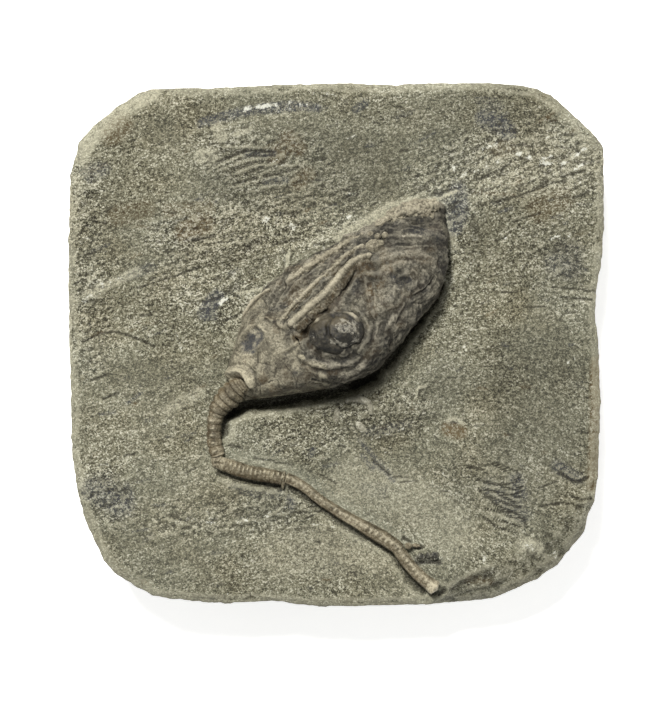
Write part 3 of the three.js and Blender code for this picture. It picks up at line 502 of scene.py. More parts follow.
# Tints on the cup, in the same form as the strokes on the bed.
CUP_TINTS = [
    ("slate", 1.1, 2.2, [(-10.5, -0.1), (-9.9, 0.6), (-9.4, 1.2)]),
    ("slate", 0.6, 1.2, [(-10.9, -0.6), (-9.9, -0.6)]),
    ("pale", 0.3, 1.0, [(-9.9, 1.6)]),
    ("pale", 1.2, 0.8, [(-11.6, -1.9), (-10.4, -1.7)]),
    ("pale", 0.8, 1.2, [
        (-13.1, -3.6), (-12.6, -3.2), (-12.0, -2.95), (-11.3, -3.1), (-10.7, -3.6), (-10.2, -4.4),
    ]),
    ("brown", 0.35, 0.8, [(-12.9, -3.9), (-12.0, -3.6), (-11.3, -3.8), (-10.8, -4.6)]),
    ("pale", 0.3, 1.0, [(-4.3, -1.25), (-3.9, -1.5)]),
    ("pale", 0.3, 0.7, [(-7.4, -0.9), (-6.7, -0.9)]),
    ("pale", 1.2, 0.45, [(-8.3, 2.0), (-7.4, 1.2), (-6.9, 0.0)]),
    ("slate", 1.0, 0.4, [(-4.6, -3.3), (-4.4, -4.4)]),
    ("brown", 0.6, 0.6, [(-8.0, 3.4), (-7.0, 3.4), (-6.0, 3.9)]),
    ("brown", 0.8, 0.4, [(-6.0, -3.0), (-5.6, -4.6)]),
]

# Carving on the sac and the ground between the arms: half width, height, places.
SAC_CARVING = [
    (0.5, 0.35, [(13.2, 11.3), (12.6, 8.3), (11.6, 6.1), (10.3, 4.2), (8.7, 2.5), (7.6, 0.8), (6.0, -1.2)]),
    (0.35, -0.35, [(12.2, 10.8), (11.9, 8.8), (11.0, 7.0), (10.2, 6.2), (9.0, 5.5)]),
    (0.22, -0.3, [(11.0, 7.2), (10.3, 6.5), (9.1, 5.7)]),
    (0.18, -0.25, [(9.2, 5.0), (10.2, 4.9)]),
    (0.9, 0.45, [(3.2, 8.4), (3.6, 6.8), (4.1, 5.3), (4.2, 3.8)]),
    (0.22, 0.2, [(3.3, 7.6), (3.6, 6.0), (3.9, 4.4)]),
    (0.2, 0.18, [(4.3, 7.4), (4.5, 6.0), (4.6, 4.6)]),
    (0.2, -0.5, [(2.5, 5.3), (2.1, 4.7)]),
    (1.5, -0.85, [(0.6, 7.3), (1.8, 7.3), (2.4, 6.6)]),
    (0.8, -0.55, [(6.4, 7.9), (7.5, 7.6), (8.4, 7.7)]),
    (0.7, 0.5, [(2.8, 9.3), (4.2, 8.5), (5.4, 8.4), (6.2, 9.0), (7.5, 9.5), (9.1, 9.8), (10.8, 9.6)]),
    (0.35, -0.2, [(4.6, 9.3), (5.8, 9.6), (7.4, 10.1), (8.6, 10.2)]),
    (0.6, 0.28, [(5.6, 10.5), (7.1, 10.7), (9.2, 10.8), (11.2, 10.4)]),
    (0.3, -0.14, [(6.6, 11.2), (7.9, 11.5), (9.4, 11.2)]),
    (0.2, 0.11, [(7.0, 13.0), (10.3, 13.1)]),
    (0.2, -0.1, [(7.0, 12.6), (10.3, 12.7)]),
    (0.2, 0.11, [(7.1, 12.2), (10.1, 12.3)]),
    (0.18, -0.1, [(7.0, 11.9), (10.3, 12.0)]),
    (0.2, 0.1, [(7.4, 11.6), (10.7, 11.8)]),
    (0.2, 0.22, [(6.4, 13.8), (8.3, 13.9), (9.9, 13.6)]),
    (0.2, 0.22, [(7.6, 14.6), (9.4, 14.3), (10.9, 13.9)]),
    (0.5, 0.55, [(1.9, 4.5), (2.9, 3.7), (3.6, 2.6), (3.8, 1.6), (3.4, 0.3), (2.6, -0.7)]),
    (0.3, -0.35, [(3.1, 4.6), (4.2, 3.2), (4.5, 1.8), (4.0, 0.2)]),
    (0.5, 0.4, [(6.8, 3.4), (6.2, 2.4), (5.7, 1.3)]),
    (0.4, -0.3, [(5.9, 3.6), (5.3, 2.4), (4.9, 1.2)]),
    (0.35, 0.3, [(8.0, 4.9), (7.4, 3.8), (7.0, 2.8)]),
    (0.7, 0.26, [(-4.0, -1.5), (-2.8, -2.1), (-1.4, -2.4), (0.1, -2.4), (1.6, -1.9), (3.0, -0.9)]),
    (0.7, 0.4, [(-1.7, -3.5), (-0.3, -3.7), (1.1, -3.8), (2.4, -3.2), (3.5, -1.9)]),
    (0.45, -0.25, [(-3.7, -2.2), (-2.5, -2.8), (-1.2, -3.0), (0.2, -3.1), (1.6, -2.7)]),
    (0.35, -0.5, [(-3.1, -4.6), (-1.9, -4.8)]),
    (0.3, -0.3, [(-2.8, -4.1), (0.1, -4.6), (2.7, -3.9), (4.7, -2.6), (6.4, -0.8)]),
    (0.6, -0.35, [(-3.1, 1.8), (-3.3, 0.6), (-2.6, -0.8), (-1.0, -1.7), (0.9, -1.8), (2.4, -0.9)]),
    (0.7, 0.3, [(6.2, 5.2), (7.0, 6.6), (8.4, 6.2)]),
    (0.45, 0.3, [(5.6, 4.2), (7.0, 4.6)]),
    (0.3, 0.32, [(9.0, 9.0), (9.6, 7.9), (9.4, 7.0)]),
    (0.3, 0.3, [(10.0, 9.2), (10.6, 8.2), (10.4, 7.4)]),
    (0.26, 0.4, [(-7.5, 6.0), (-6.8, 7.2), (-6.3, 8.2), (-5.9, 9.4)]),
    (0.18, 0.4, [(-5.9, 9.6), (-5.7, 11.0)]),
    (0.25, 0.35, [(-8.4, 6.6), (-7.6, 7.4), (-6.7, 8.0)]),
    (0.6, 0.4, [(-5.8, 9.0), (-4.2, 8.9)]),
    (0.2, -0.3, [(-5.0, 8.4), (-5.0, 9.6)]),
    (0.5, 0.3, [(-3.5, 9.8), (-1.7, 10.3)]),
    (0.24, 0.45, [(-3.0, 11.0), (-1.7, 11.8), (0.1, 12.8)]),
    (0.24, 0.5, [(0.1, 12.4), (1.6, 13.0), (3.6, 14.2)]),
    (0.3, -0.35, [(-3.9, 8.3), (-2.4, 9.2), (-0.6, 10.7), (1.2, 11.9)]),
    (0.22, 0.3, [(-5.4, 6.4), (-3.9, 8.0), (-2.2, 9.0)]),
    (0.22, 0.25, [(-6.2, 5.6), (-5.0, 6.8), (-4.0, 7.7)]),
    (0.3, -0.35, [(-6.6, 4.6), (-5.6, 5.8), (-4.4, 6.7), (-3.2, 7.4)]),
    (0.3, -0.3, [(-7.6, 4.6), (-6.8, 5.8), (-6.0, 7.0)]),
    (0.3, -0.4, [
        (-5.2, 3.2), (-3.95, 4.4), (-2.7, 5.6), (-1.4, 7.0), (-0.2, 8.2), (0.85, 9.35), (1.9, 10.4),
    ]),
    (0.85, -1.0, [
        (-3.8, 1.6), (-3.2, 2.1), (-2.2, 3.2), (-1.0, 4.5), (-0.1, 5.7), (0.6, 6.9), (1.5, 8.1), (2.5, 8.9),
        (3.6, 9.3), (4.8, 9.6),
    ]),
    (0.3, 0.35, [(7.8, 16.6), (9.6, 17.0), (11.6, 17.4)]),
    (0.55, -0.5, [(5.4, 12.9), (7.4, 13.9), (9.6, 14.7), (11.8, 15.1)]),
]
SAC_TINTS = [
    ("brown", 0.9, 1.1, [
        (-4.6, 1.0), (-3.4, 1.9), (-2.2, 3.2), (-1.0, 4.5), (-0.1, 5.7), (0.6, 6.9), (1.5, 8.1), (2.5, 8.9),
        (4.0, 9.3),
    ]),
    ("slate", 1.3, 0.5, [(0.7, 7.4), (1.9, 7.3), (2.5, 6.6)]),
    ("slate", 0.8, 0.75, [(6.4, 7.9), (7.5, 7.6), (8.4, 7.7)]),
    ("brown", 0.9, 0.75, [(3.2, 8.4), (3.6, 6.8), (4.1, 5.3), (4.2, 3.8)]),
    ("brown", 0.7, 0.7, [(2.8, 9.3), (4.2, 8.5), (5.4, 8.4), (6.2, 9.0)]),
    ("brown", 0.7, 0.55, [(7.0, 10.0), (9.2, 10.2), (11.0, 10.0)]),
    ("brown", 0.8, 0.4, [(9.2, 8.6), (9.9, 7.4), (9.6, 6.6)]),
    ("brown", 0.6, 0.6, [(6.4, 2.2), (6.0, 1.4)]),
    ("brown", 0.6, 0.8, [(-3.7, -2.2), (-2.5, -2.8), (-1.2, -3.0), (0.2, -3.1)]),
    ("brown", 0.5, 0.6, [(-3.4, 0.6), (-2.6, -0.8), (-1.0, -1.7)]),
    ("pale", 0.5, 0.6, [(-2.8, -2.0), (-1.4, -2.4), (0.1, -2.4)]),
    ("pale", 0.4, 0.6, [(0.6, -3.5), (2.0, -3.2), (3.0, -2.2)]),
    ("pale", 0.5, 0.6, [(6.8, 3.4), (6.3, 2.5)]),
    ("pale", 0.7, 0.4, [(6.2, 5.2), (7.0, 6.6)]),
    ("pale", 0.9, 0.35, [(5.2, 10.6), (6.4, 11.0), (9.8, 11.2)]),
    ("pale", 0.18, 0.9, [(7.9, 13.0), (8.8, 13.1), (10.3, 12.9)]),
    ("pale", 0.2, 0.8, [(8.4, 11.2), (10.0, 11.4)]),
    ("pale", 0.6, 0.6, [(-3.4, 9.9), (-1.6, 10.4)]),
    ("pale", 0.3, 0.6, [(-3.0, 11.0), (-1.7, 11.8), (0.1, 12.8), (1.6, 13.0), (3.6, 14.2)]),
    ("brown", 0.6, 0.5, [(-5.8, 9.0), (-4.4, 8.9)]),
    ("brown", 1.1, 0.3, [(-5.4, 6.8), (-3.6, 8.0)]),
    ("slate", 0.4, 0.6, [(9.6, 14.9), (11.4, 14.6)]),
    ("pale", 0.8, 0.7, [(3.4, 13.6), (5.0, 14.7), (7.0, 15.7), (9.4, 16.4), (12.2, 16.8)]),
    ("slate", 0.7, 0.7, [(7.4, 14.2), (9.4, 13.7), (11.2, 13.4)]),
    # Painted shadow: the groove under the arm tips is darkened.
    ("shade", 0.8, 1.4, [(5.4, 12.9), (7.4, 13.8), (9.6, 14.5), (11.8, 14.9)]),
    ("slate", 0.9, 0.5, [(11.4, 15.0), (12.6, 12.0), (12.6, 9.0)]),
]

# Carving and tints on the snail, in the same forms.
SNAIL_CARVING = [
    (0.16, 0.16, [(-3.1, 2.6), (-2.4, 3.3), (-1.4, 3.8), (0.1, 4.1), (1.6, 3.8), (2.6, 3.0)]),
    (0.3, -0.2, [(-2.6, 2.6), (-1.3, 3.3), (0.1, 3.6), (1.4, 3.3)]),
    (0.4, -0.3, [(-0.3, 3.5), (-1.0, 2.2), (-0.7, 0.7), (0.6, -0.4), (2.2, 0.0)]),
    (1.3, 0.45, [(1.2, 1.7), (1.5, 1.3)]),
    (0.7, -0.3, [(-2.8, 1.3), (-2.6, 0.4)]),
]
SNAIL_TINTS = [
    ("white", 0.3, 1.0, [(-2.6, 2.9), (-1.9, 3.5), (-1.0, 3.9), (0.4, 4.1), (1.6, 3.8), (2.6, 2.9)]),
    ("brown", 0.9, 0.7, [(-0.2, 2.9), (0.8, 3.0)]),
    ("pale", 1.2, 0.95, [(0.6, 2.3), (1.8, 2.1)]),
    ("pale", 0.6, 0.8, [(-0.4, 0.5), (0.9, -0.1), (2.0, 0.3), (2.4, 1.2)]),
    ("pale", 0.7, 0.5, [(-3.2, 0.4), (-2.7, 1.2)]),
    ("brown", 1.0, 0.45, [(-2.4, 2.4), (-1.2, 3.0)]),
    ("brown", 0.6, 0.9, [(-3.2, -0.6), (-2.0, -1.2)]),
]


# ---- Numbers: smooth steps, smooth rows, noise, strokes ----

# The shade mask carries darker stone and stains, and also painted shade on the crown's and arms' flanks, in
# grooves and under the arm tips.
TINT_KINDS = ("white", "pale", "slate", "brown", "shade")  # the masks that the finishes read


def smoothstep(low, high, x):
    t = np.clip((x - low) / (high - low), 0, 1)
    return t * t * (3 - 2 * t)


def hump(x, middle, width):
    """1 at the middle, falling smoothly to nothing about two widths away."""
    return np.exp(-(((x - middle) / width) ** 2))


def along_rows(rows, x):
    """A smooth value at each x, from rows of (x, a, b, ...) in rising x."""
    rows = np.array(rows, float)
    last = len(rows) - 1
    i = np.clip(np.searchsorted(rows[:, 0], x, side="left") - 1, 0, last - 1)
    before, here, after, beyond = (rows[np.clip(i + k, 0, last)] for k in (-1, 0, 1, 2))
    t = np.clip((x - here[:, 0]) / (after[:, 0] - here[:, 0]), 0, 1)[:, None]
    a, b = here[:, 1:], after[:, 1:]
    into = (after - before)[:, 1:] / 2
    out = (beyond - here)[:, 1:] / 2
    return a + into * t + (3 * (b - a) - 2 * into - out) * t**2 + (2 * (a - b) + into + out) * t**3


def trace(points, steps=10):
    """Places along a smooth curve through the points."""
    points = np.array(points, float)
    if len(points) < 3:
        return points
    rows = np.column_stack([np.arange(len(points)), points])
    return along_rows(rows, np.linspace(0, len(points) - 1, (len(points) - 1) * steps + 1))


def follow(points, share):
    """Places and directions at shares of a curve's length, and the length."""
    line = trace(points, 24)
    run = np.concatenate([[0], np.cumsum(np.linalg.norm(np.diff(line, axis=0), axis=1))])

    def at(distance):
        return np.column_stack([np.interp(distance, run, column) for column in line.T])

    here = share * run[-1]
    ahead = at(np.minimum(here + 0.2, run[-1])) - at(np.maximum(here - 0.2, 0))
    return at(here), ahead, run[-1]


NOISE_DIRECTIONS = np.random.default_rng(7).normal(size=(256, 3))
NOISE_DIRECTIONS /= np.linalg.norm(NOISE_DIRECTIONS, axis=1)[:, None]


def noise(places, size, seed=0):
    """Smooth noise, about -1 to 1, with lumps of the given size (one number, or one for each axis)."""
    places = np.asarray(places, float)
    if places.shape[1] == 2:
        places = np.column_stack([places, np.zeros(len(places))])
    spot = places / np.array(size, float) + seed * 17.31
    cell = np.floor(spot).astype(np.int64)
    part = spot - cell
    fade = part**3 * (part * (part * 6 - 15) + 10)
    total = np.zeros(len(places))
    for corner in itertools.product((0, 1), repeat=3):
        x, y, z = (cell + corner).T
        mixed = (x * 73856093) ^ (y * 19349663) ^ (z * 83492791)
        mixed = (mixed ^ (mixed >> 13)) * 1274126177
        direction = NOISE_DIRECTIONS[(mixed ^ (mixed >> 16)) & 255]
        weight = np.where(corner, fade, 1 - fade).prod(axis=1)
        total += weight * (direction * (part - corner)).sum(axis=1)
    return total * 1.7


def nearness(plan, points, half_width):
    """1 on the curve through the points, as seen from above, falling to 0 at its half width."""
    line = trace(points)
    low, high = line.min(axis=0) - half_width, line.max(axis=0) + half_width
    near = np.flatnonzero(((plan > low) & (plan < high)).all(axis=1))
    value = np.zeros(len(plan))
    if len(line) == 1:
        line = np.vstack([line, line + 0.01])
    best = np.full(len(near), np.inf)
    for start, end in zip(line[:-1], line[1:]):
        step = end - start
        share = np.clip((plan[near] - start) @ step / (step @ step), 0, 1)
        gap = plan[near] - start - share[:, None] * step
        best = np.minimum(best, (gap**2).sum(axis=1))
    value[near] = np.clip(1 - np.sqrt(best) / half_width, 0, 1)
    return value


def rounded(value):
    return value * value * (3 - 2 * value)


def strengthen(masks, kind, values):
    """Raises a mask to the given values where they are stronger."""
    masks[kind] = np.maximum(masks[kind], values)


def carve(plan, strokes):
    """The height that a list of (half width, height, places) adds at each place."""
    wander = np.column_stack([noise(plan, 1.3, 91), noise(plan, 1.3, 92)])
    bent = plan + 0.16 * wander + 0.06 * np.column_stack([noise(plan, 0.5, 93), noise(plan, 0.5, 94)])
    return sum(height * rounded(nearness(bent, places, half)) for half, height, places in strokes)


def tint_masks(plan, strokes):
    """A mask for each kind of stroke, from a list of (kind, half width, strength, places)."""
    masks = {kind: np.zeros(len(plan)) for kind in TINT_KINDS + ("rough", "ridge", "groove")}
    for kind, half_width, strength, places in strokes:
        near = nearness(plan, places, half_width)
        soft = kind in ("white", "ridge", "groove")
        mask = strength * (rounded(near) if soft else smoothstep(0, 0.6, near))
        strengthen(masks, kind, mask)
    masks["white"] *= 0.3 + 0.9 * smoothstep(-0.25, 0.35, noise(plan, 0.75, 95))
    return masks


# ---- Meshes: blanks, places, attributes, finishing ----


def mesh_from(bm, name):
    mesh = bpy.data.meshes.new(name)
    bm.to_mesh(mesh)
    bm.free()
    return mesh


def places_of(mesh):
    flat = np.empty(len(mesh.vertices) * 3)
    mesh.vertices.foreach_get("co", flat)
    return flat.reshape(-1, 3)


def put(mesh, places):
    mesh.vertices.foreach_set("co", places.ravel())
    mesh.update()


def normals_of(mesh):
    flat = np.empty(len(mesh.vertices) * 3, np.float32)
    mesh.vertex_normals.foreach_get("vector", flat)
    return flat.reshape(-1, 3).astype(float)


def face_outwards(mesh):
    bm = bmesh.new()
    bm.from_mesh(mesh)
    bmesh.ops.recalc_face_normals(bm, faces=bm.faces)
    bm.to_mesh(mesh)
    bm.free()
    mesh.update()


def blank(name, around, along):
    """A closed round blank: its mesh, and for each vertex the share of the way along it and the angle."""
    bm = bmesh.new()
    bmesh.ops.create_uvsphere(bm, u_segments=around, v_segments=along, radius=1)
    mesh = mesh_from(bm, name)
    x, y, z = places_of(mesh).T
    return mesh, np.arccos(np.clip(-z, -1, 1)) / math.pi, np.arctan2(y, x)


def mark(mesh, name, values):
    """Stores one number for each vertex, for the finish to read."""
    mesh.attributes.new(name, "FLOAT", "POINT").data.foreach_set("value", np.asarray(values, np.float32))


def crest_of(mesh, rounds, full):
    """How far each vertex stands over the ground around it, from -1 in a groove to 1 on a ridge."""
    places = places_of(mesh)
    ends = np.empty(len(mesh.edges) * 2, np.int32)
    mesh.edges.foreach_get("vertices", ends)
    one, other = ends.reshape(-1, 2).T
    count = np.bincount(ends, minlength=len(places))
    soft = places.copy()
    for _ in range(rounds):
        for axis in range(3):
            total = np.bincount(one, soft[other, axis], len(places))
            total += np.bincount(other, soft[one, axis], len(places))
            soft[:, axis] = (soft[:, axis] + total / count) / 2
    return np.clip(((places - soft) * normals_of(mesh)).sum(axis=1) / full, -1, 1)


def finish_piece(
    mesh, name, material, nodes, slot, masks=None, crest_rounds=14, crest_full=0.06, crest_share=1
):
    """Marks the crests and tints, turns millimetres into metres, and gives the piece to the frame."""
    mark(mesh, "crest", crest_of(mesh, crest_rounds, crest_full) * crest_share)
    for kind in TINT_KINDS:
        mark(mesh, kind, (masks or {}).get(kind, np.zeros(len(mesh.vertices))))
    put(mesh, (places_of(mesh) + MIDDLE) * MM)
    mesh.polygons.foreach_set("use_smooth", np.ones(len(mesh.polygons), bool))
    mesh.materials.append(material)
    piece = bpy.data.objects.new(name, mesh)
    bpy.context.scene.collection.objects.link(piece)
    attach(piece, "root")
    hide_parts(*nodes)


# ---- The slab ----


def on_outline(square):
    """Where places of the square from -1 to 1 fall inside the slab's outline."""
    reach = np.abs(square).max(axis=1)
    p, q = (square / np.maximum(reach, 1e-9)[:, None]).T
    side = np.select([q <= -1 + 1e-6, p >= 1 - 1e-6, q >= 1 - 1e-6], [0, 1, 2], 3)
    shares = [(p + 1) / 2, (q + 1) / 2, (1 - p) / 2]
    share = np.select([side == 0, side == 1, side == 2], shares, (1 - q) / 2)
    rim = np.zeros((len(square), 2))
    for k, points in enumerate(OUTLINE):
        line = np.array(points + [OUTLINE[(k + 1) % 4][0]])
        run = np.concatenate([[0], np.cumsum(np.linalg.norm(np.diff(line, axis=0), axis=1))])
        here = side == k
        for axis in (0, 1):
            rim[here, axis] = np.interp(share[here] * run[-1], run, line[:, axis])
    return OUTLINE_GROWTH * rim * reach[:, None], reach


def bed_height(plan):
    x, y = plan.T
    return BED + SWELL * (np.sin(0.11 * x + 0.9) * np.cos(0.13 * y - 0.4) + 0.4 * np.sin(0.31 * x + 0.17 * y))


def bedding(plan):
    """Places along and across the streaks in the stone, which rise to the right and turn down low right."""
    x, y = plan.T
    turn, start, width = 0.485, 8.0, 16.0
    diagonal = (x - y) / math.sqrt(2)
    t = np.clip((diagonal - start) / width, 0, 1)
    swing = width * (t**3 - t**4 / 2) + np.maximum(diagonal - start - width, 0)
    arch = 1.6 * np.exp(-((x - 23) ** 2 + (y - 19) ** 2) / 55)
    across = y - 0.3 * x + turn * math.sqrt(2) * swing - arch + 0.55 * noise(plan, 8, 3)
    return np.column_stack([x + 0.3 * y, across])


def scattered_strokes(count=420):
    """Small dashes of shell and mineral, lying along the bedding, more of them in the top right."""
    random = np.random.default_rng(21)
    strokes = []
    while len(strokes) < count:
        x, y = random.uniform(-31, 31, 2)
        crowding = 0.35 + 0.65 * smoothstep(0, 40, x + y) + 0.25 * (x < -18 and abs(y + 5) < 9)
        if random.random() > crowding:
            continue
        slope = 0.3 if x - y < 18 else -0.25
        angle = math.atan(slope) + random.normal(0, 0.22)
        half = random.gamma(2.0, 0.28)
        kind = random.choice(["white", "slate", "brown", "groove"], p=[0.5, 0.2, 0.1, 0.2])
        step = np.array([math.cos(angle), math.sin(angle)]) * half
        strength = random.uniform(0.35, 0.85)
        width = random.uniform(0.14, 0.32)
        strokes.append((kind, width, strength, [np.array([x, y]) - step, np.array([x, y]) + step]))
    return strokes


def edge_loss(plan, reach):
    """How far the top has worn or broken away near its rim: the chip, the bevel and the worn edge."""
    bearing = np.degrees(np.arctan2(plan[:, 1], plan[:, 0]))
    ragged = noise(plan, 2.4, 5)
    width = 0.12 * smoothstep(24, 8, np.abs(bearing + 50)) + 0.01 * ragged + 0.006 * noise(plan, 1.0, 15)
    into = np.clip((reach - 1 + width) / np.maximum(width, 0.02), 0, 1)
    broken = smoothstep(0.01, 0.07, width)
    shelves = smoothstep(0, 0.25, into) + 0.6 * smoothstep(0.5, 0.65, into)
    ledge = smoothstep(10, 4, np.abs(bearing + 61)) * shelves
    lumpy = 0.3 * noise(plan, 2.4, 6) + 0.1 * noise(plan, 0.9, 8) + 0.05 * noise(plan, 0.5, 18)
    chip = broken * (1.5 * into**1.5 + 0.45 * ledge + smoothstep(0, 0.4, into) * lumpy)
    bevel = 0.9 * smoothstep(17, 6, np.abs(bearing - 137)) * smoothstep(0.945, 1, reach)
    worn = 0.5 * smoothstep(0.972 + 0.012 * ragged, 1, reach) * (0.9 + 0.5 * noise(plan, 1.3, 9))
    return chip + bevel + worn


def bed_relief(plan, marks, quiet):
    """The fine shape of the bedding plane: rolling ground, thin layers, streaks, grain and strokes."""
    streaks = bedding(plan)
    busy = (0.25 + 0.9 * marks["rough"]) * (1 - 0.7 * quiet)
    rolling = 0.16 * noise(plan, 7.5, 1) + 0.05 * noise(plan, 2.6, 2)
    layers = 0.08 * smoothstep(-0.03, 0.05, noise(streaks, (6, 2.6, 1), 4))
    layers += 0.06 * smoothstep(-0.03, 0.04, noise(streaks, (4, 1.6, 1), 14))
    wavy = streaks + 0.35 * np.column_stack([np.zeros(len(plan)), noise(plan, 1.5, 12)])
    streaked = 0.075 * noise(wavy, (1.2, 0.5, 1), 5) + 0.07 * noise(wavy, (0.7, 0.42, 1), 6)
    grain = 0.03 * noise(plan, 0.5, 7) + 0.03 * noise(plan, 0.4, 8)
    strokes = 0.15 * marks["ridge"] - 0.18 * marks["groove"] + 0.05 * marks["white"] + 0.06 * marks["pale"]
    return rolling + (layers + streaked) * busy + grain * (1 - 0.5 * quiet) + strokes


def slab_blank():
    """A square block from -1 to 1 and 0 to 1: a fine top, rings of wall, and a coarse foot."""
    bm = bmesh.new()
    bmesh.ops.create_grid(bm, x_segments=SLAB_TOP_GRID, y_segments=SLAB_TOP_GRID, size=1)
    bmesh.ops.translate(bm, verts=bm.verts, vec=(0, 0, 1))
    rim = [edge for edge in bm.edges if edge.is_boundary]
    for level in SLAB_WALL_LEVELS:
        grown = bmesh.ops.extrude_edge_only(bm, edges=rim)["geom"]
        rim = [item for item in grown if isinstance(item, bmesh.types.BMEdge)]
        for vert in (item for item in grown if isinstance(item, bmesh.types.BMVert)):
            vert.co.z = level
    cells = {"x_segments": SLAB_FOOT_GRID, "y_segments": SLAB_FOOT_GRID}
    foot = bmesh.ops.create_grid(bm, **cells, size=SLAB_FOOT_SHARE)["verts"]
    foot_rim = {edge for vert in foot for edge in vert.link_edges if edge.is_boundary}
    bmesh.ops.bridge_loops(bm, edges=rim + sorted(foot_rim, key=lambda edge: edge.index))
    return mesh_from(bm, "matrix_slab")


def slab():
    """The trimmed block: its carved top, its roughly tooled walls and its flat foot."""
    mesh = slab_blank()
    square = places_of(mesh)
    level = square[:, 2]
    plan, reach = on_outline(square[:, :2])
    marks = tint_masks(plan, BED_STROKES + scattered_strokes())
    # Painted shade: the grooves (cracks and cut lines) are darkened.
    strengthen(marks, "shade", 1.35 * marks["groove"])
    quiet = rounded(nearness(plan, SMOOTH_HALO, 2.2))
    top = bed_height(plan) + bed_relief(plan, marks, quiet) + carve(plan, BED_BANKS) - edge_loss(plan, reach)
    wall = smoothstep(0.99, 1, reach) * smoothstep(1, 0.9, level)
    deep = np.column_stack([plan, level * BED])
    marks = {kind: mask * smoothstep(0.9, 1, level) for kind, mask in marks.items()}
    marks["shade"] += 0.5 * wall * smoothstep(-0.1, 0.35, noise(deep, (9, 9, 2.0), 38))
    tooled = 0.28 * noise(deep, (2.2, 2.2, 5.0), 31) + 0.16 * noise(deep, 1.0, 32)
    tooled += 0.08 * noise(deep, 0.5, 33)
    laminae = 0.1 * noise(deep, (6, 6, 0.5), 34)
    rim_bites = -0.16 * np.abs(noise(deep, (1.5, 1.5, 9), 35)) * smoothstep(0.985, 1, reach)
    outwards = plan / np.maximum(np.linalg.norm(plan, axis=1), 1e-9)[:, None]
    swollen = WALL_BULGE * np.sin(math.pi * level) - WALL_TAPER * (1 - level)
    push = wall * (swollen + tooled + laminae) + rim_bites
    foot_rough = 0.1 * noise(deep, 3, 36) * smoothstep(0.9, 1, reach) * (level < 0.01)
    height = np.where(level < 0.01, np.abs(foot_rough), level * top)
    put(mesh, np.column_stack([plan + outwards * push[:, None], height]))
    face_outwards(mesh)
    places = places_of(mesh)
    layers = bedding(plan)
    flow = np.column_stack([layers[:, 0] * 0.42, layers[:, 1], places[:, 2] * 1.5])
    mesh.attributes.new("bedding", "FLOAT_VECTOR", "POINT").data.foreach_set("vector", (flow * MM).ravel())
    spangled = smoothstep(-0.1, 0.4, noise(layers, 1.2, 37))
    strengthen(marks, "white", 0.32 * marks["rough"] * spangled)
    right_wall = wall * smoothstep(26, 30, places[:, 0]) * smoothstep(-20, -12, places[:, 1])
    rust = smoothstep(6, -8, places[:, 1] + 5 * noise(deep, 4, 39))
    strengthen(marks, "brown", 0.8 * right_wall * rust)
    mark(mesh, "quiet", quiet)
    mark(mesh, "rough", marks["rough"])
    crests = {"crest_rounds": 8, "crest_share": 1 - 0.8 * wall}
    finish_piece(mesh, "matrix_slab", siltstone(), ["matrix_slab"], "siltstone", marks, **crests)


# ---- The crown ----

HEADING = math.radians(CROWN_HEADING)
TILT = math.radians(CROWN_TILT)
CROWN_TURN = Matrix.Rotation(HEADING, 3, "Z") @ Matrix.Rotation(TILT, 3, "X")


def from_crown(places):
    """Places along, across and over the crown, as places over the slab."""
    return places @ np.array(CROWN_TURN).T + CROWN_AT


def section_top(out):
    """How high the upper edge of the crown's section stands, as a share of its half height, at a share
    of the way out from its middle. The right-hand side has a squarer shoulder."""
    power = np.where(out < 0, SHOULDER, 2)
    return (1 - np.minimum(np.abs(out), 1) ** power) ** (1 / power)


def crown_top(along, across):
    """The height of the crown's body at places along and across it."""
    side, up, half_width, half_height = along_rows(CROWN_SECTIONS, along).T
    return up + half_height * section_top(np.clip((across - side) / half_width, -0.97, 0.97))


def on_crown(seen, rise):
    """The places on the crown that lie under places seen from above, raised by a height."""
    x, y = (np.array(seen, float) - CROWN_AT[:2]).T
    along = x * math.cos(HEADING) + y * math.sin(HEADING)
    sideways = y * math.cos(HEADING) - x * math.sin(HEADING)
    across = sideways
    for _ in range(20):
        across = (sideways + (crown_top(along, across) + rise) * math.sin(TILT)) / math.cos(TILT)
    return from_crown(np.column_stack([along, across, crown_top(along, across) + rise]))


def body_stretch(name, start, end, around, along):
    """A stretch of the crown's body, closed by ends; the end at the sac follows the plates' upper rims."""
    mesh, share, angle = blank(name, around, along)
    cap = CAP_RINGS / along
    body = np.clip((share - cap) / (1 - 2 * cap), 0, 1)
    rims = 0.55 * np.sin(5 * angle + 1.2) + 0.3 * np.sin(11 * angle + 0.4)
    along_body = start + (end - start) * body
    along_body += rims * (body if start < CUP_END else 1 - body) ** 3
    spread = np.clip(np.minimum(share, 1 - share) / cap, 0, 1)
    sections = along_rows(CROWN_SECTIONS, np.clip(along_body, 0, CROWN_LENGTH))
    side, up, half_width, half_height = sections.T
    out = np.cos(angle)
    fuller = 1 + 0.05 * smoothstep(0, -1, out)
    across = side + half_width * spread * out * fuller
    over = up + half_height * spread * np.sign(np.sin(angle)) * section_top(out)
    put(mesh, from_crown(np.column_stack([along_body, across, over])))
    face_outwards(mesh)
    return mesh, smoothstep(cap * 1.2, cap * 3, np.minimum(share, 1 - share))


def push_out(mesh, heights):
    """Moves the surface out by a height at each vertex, in place."""
    put(mesh, places_of(mesh) + normals_of(mesh) * heights[:, None])


def upper_side(mesh):
    return smoothstep(0.02, 0.3, normals_of(mesh)[:, 2])


def arm_beds():
    """The sac swells a little under each arm."""
    return [(1.4 * arm["radii"][1] + 0.5, 0.25, arm["route"]) for arm in ARMS.values()]


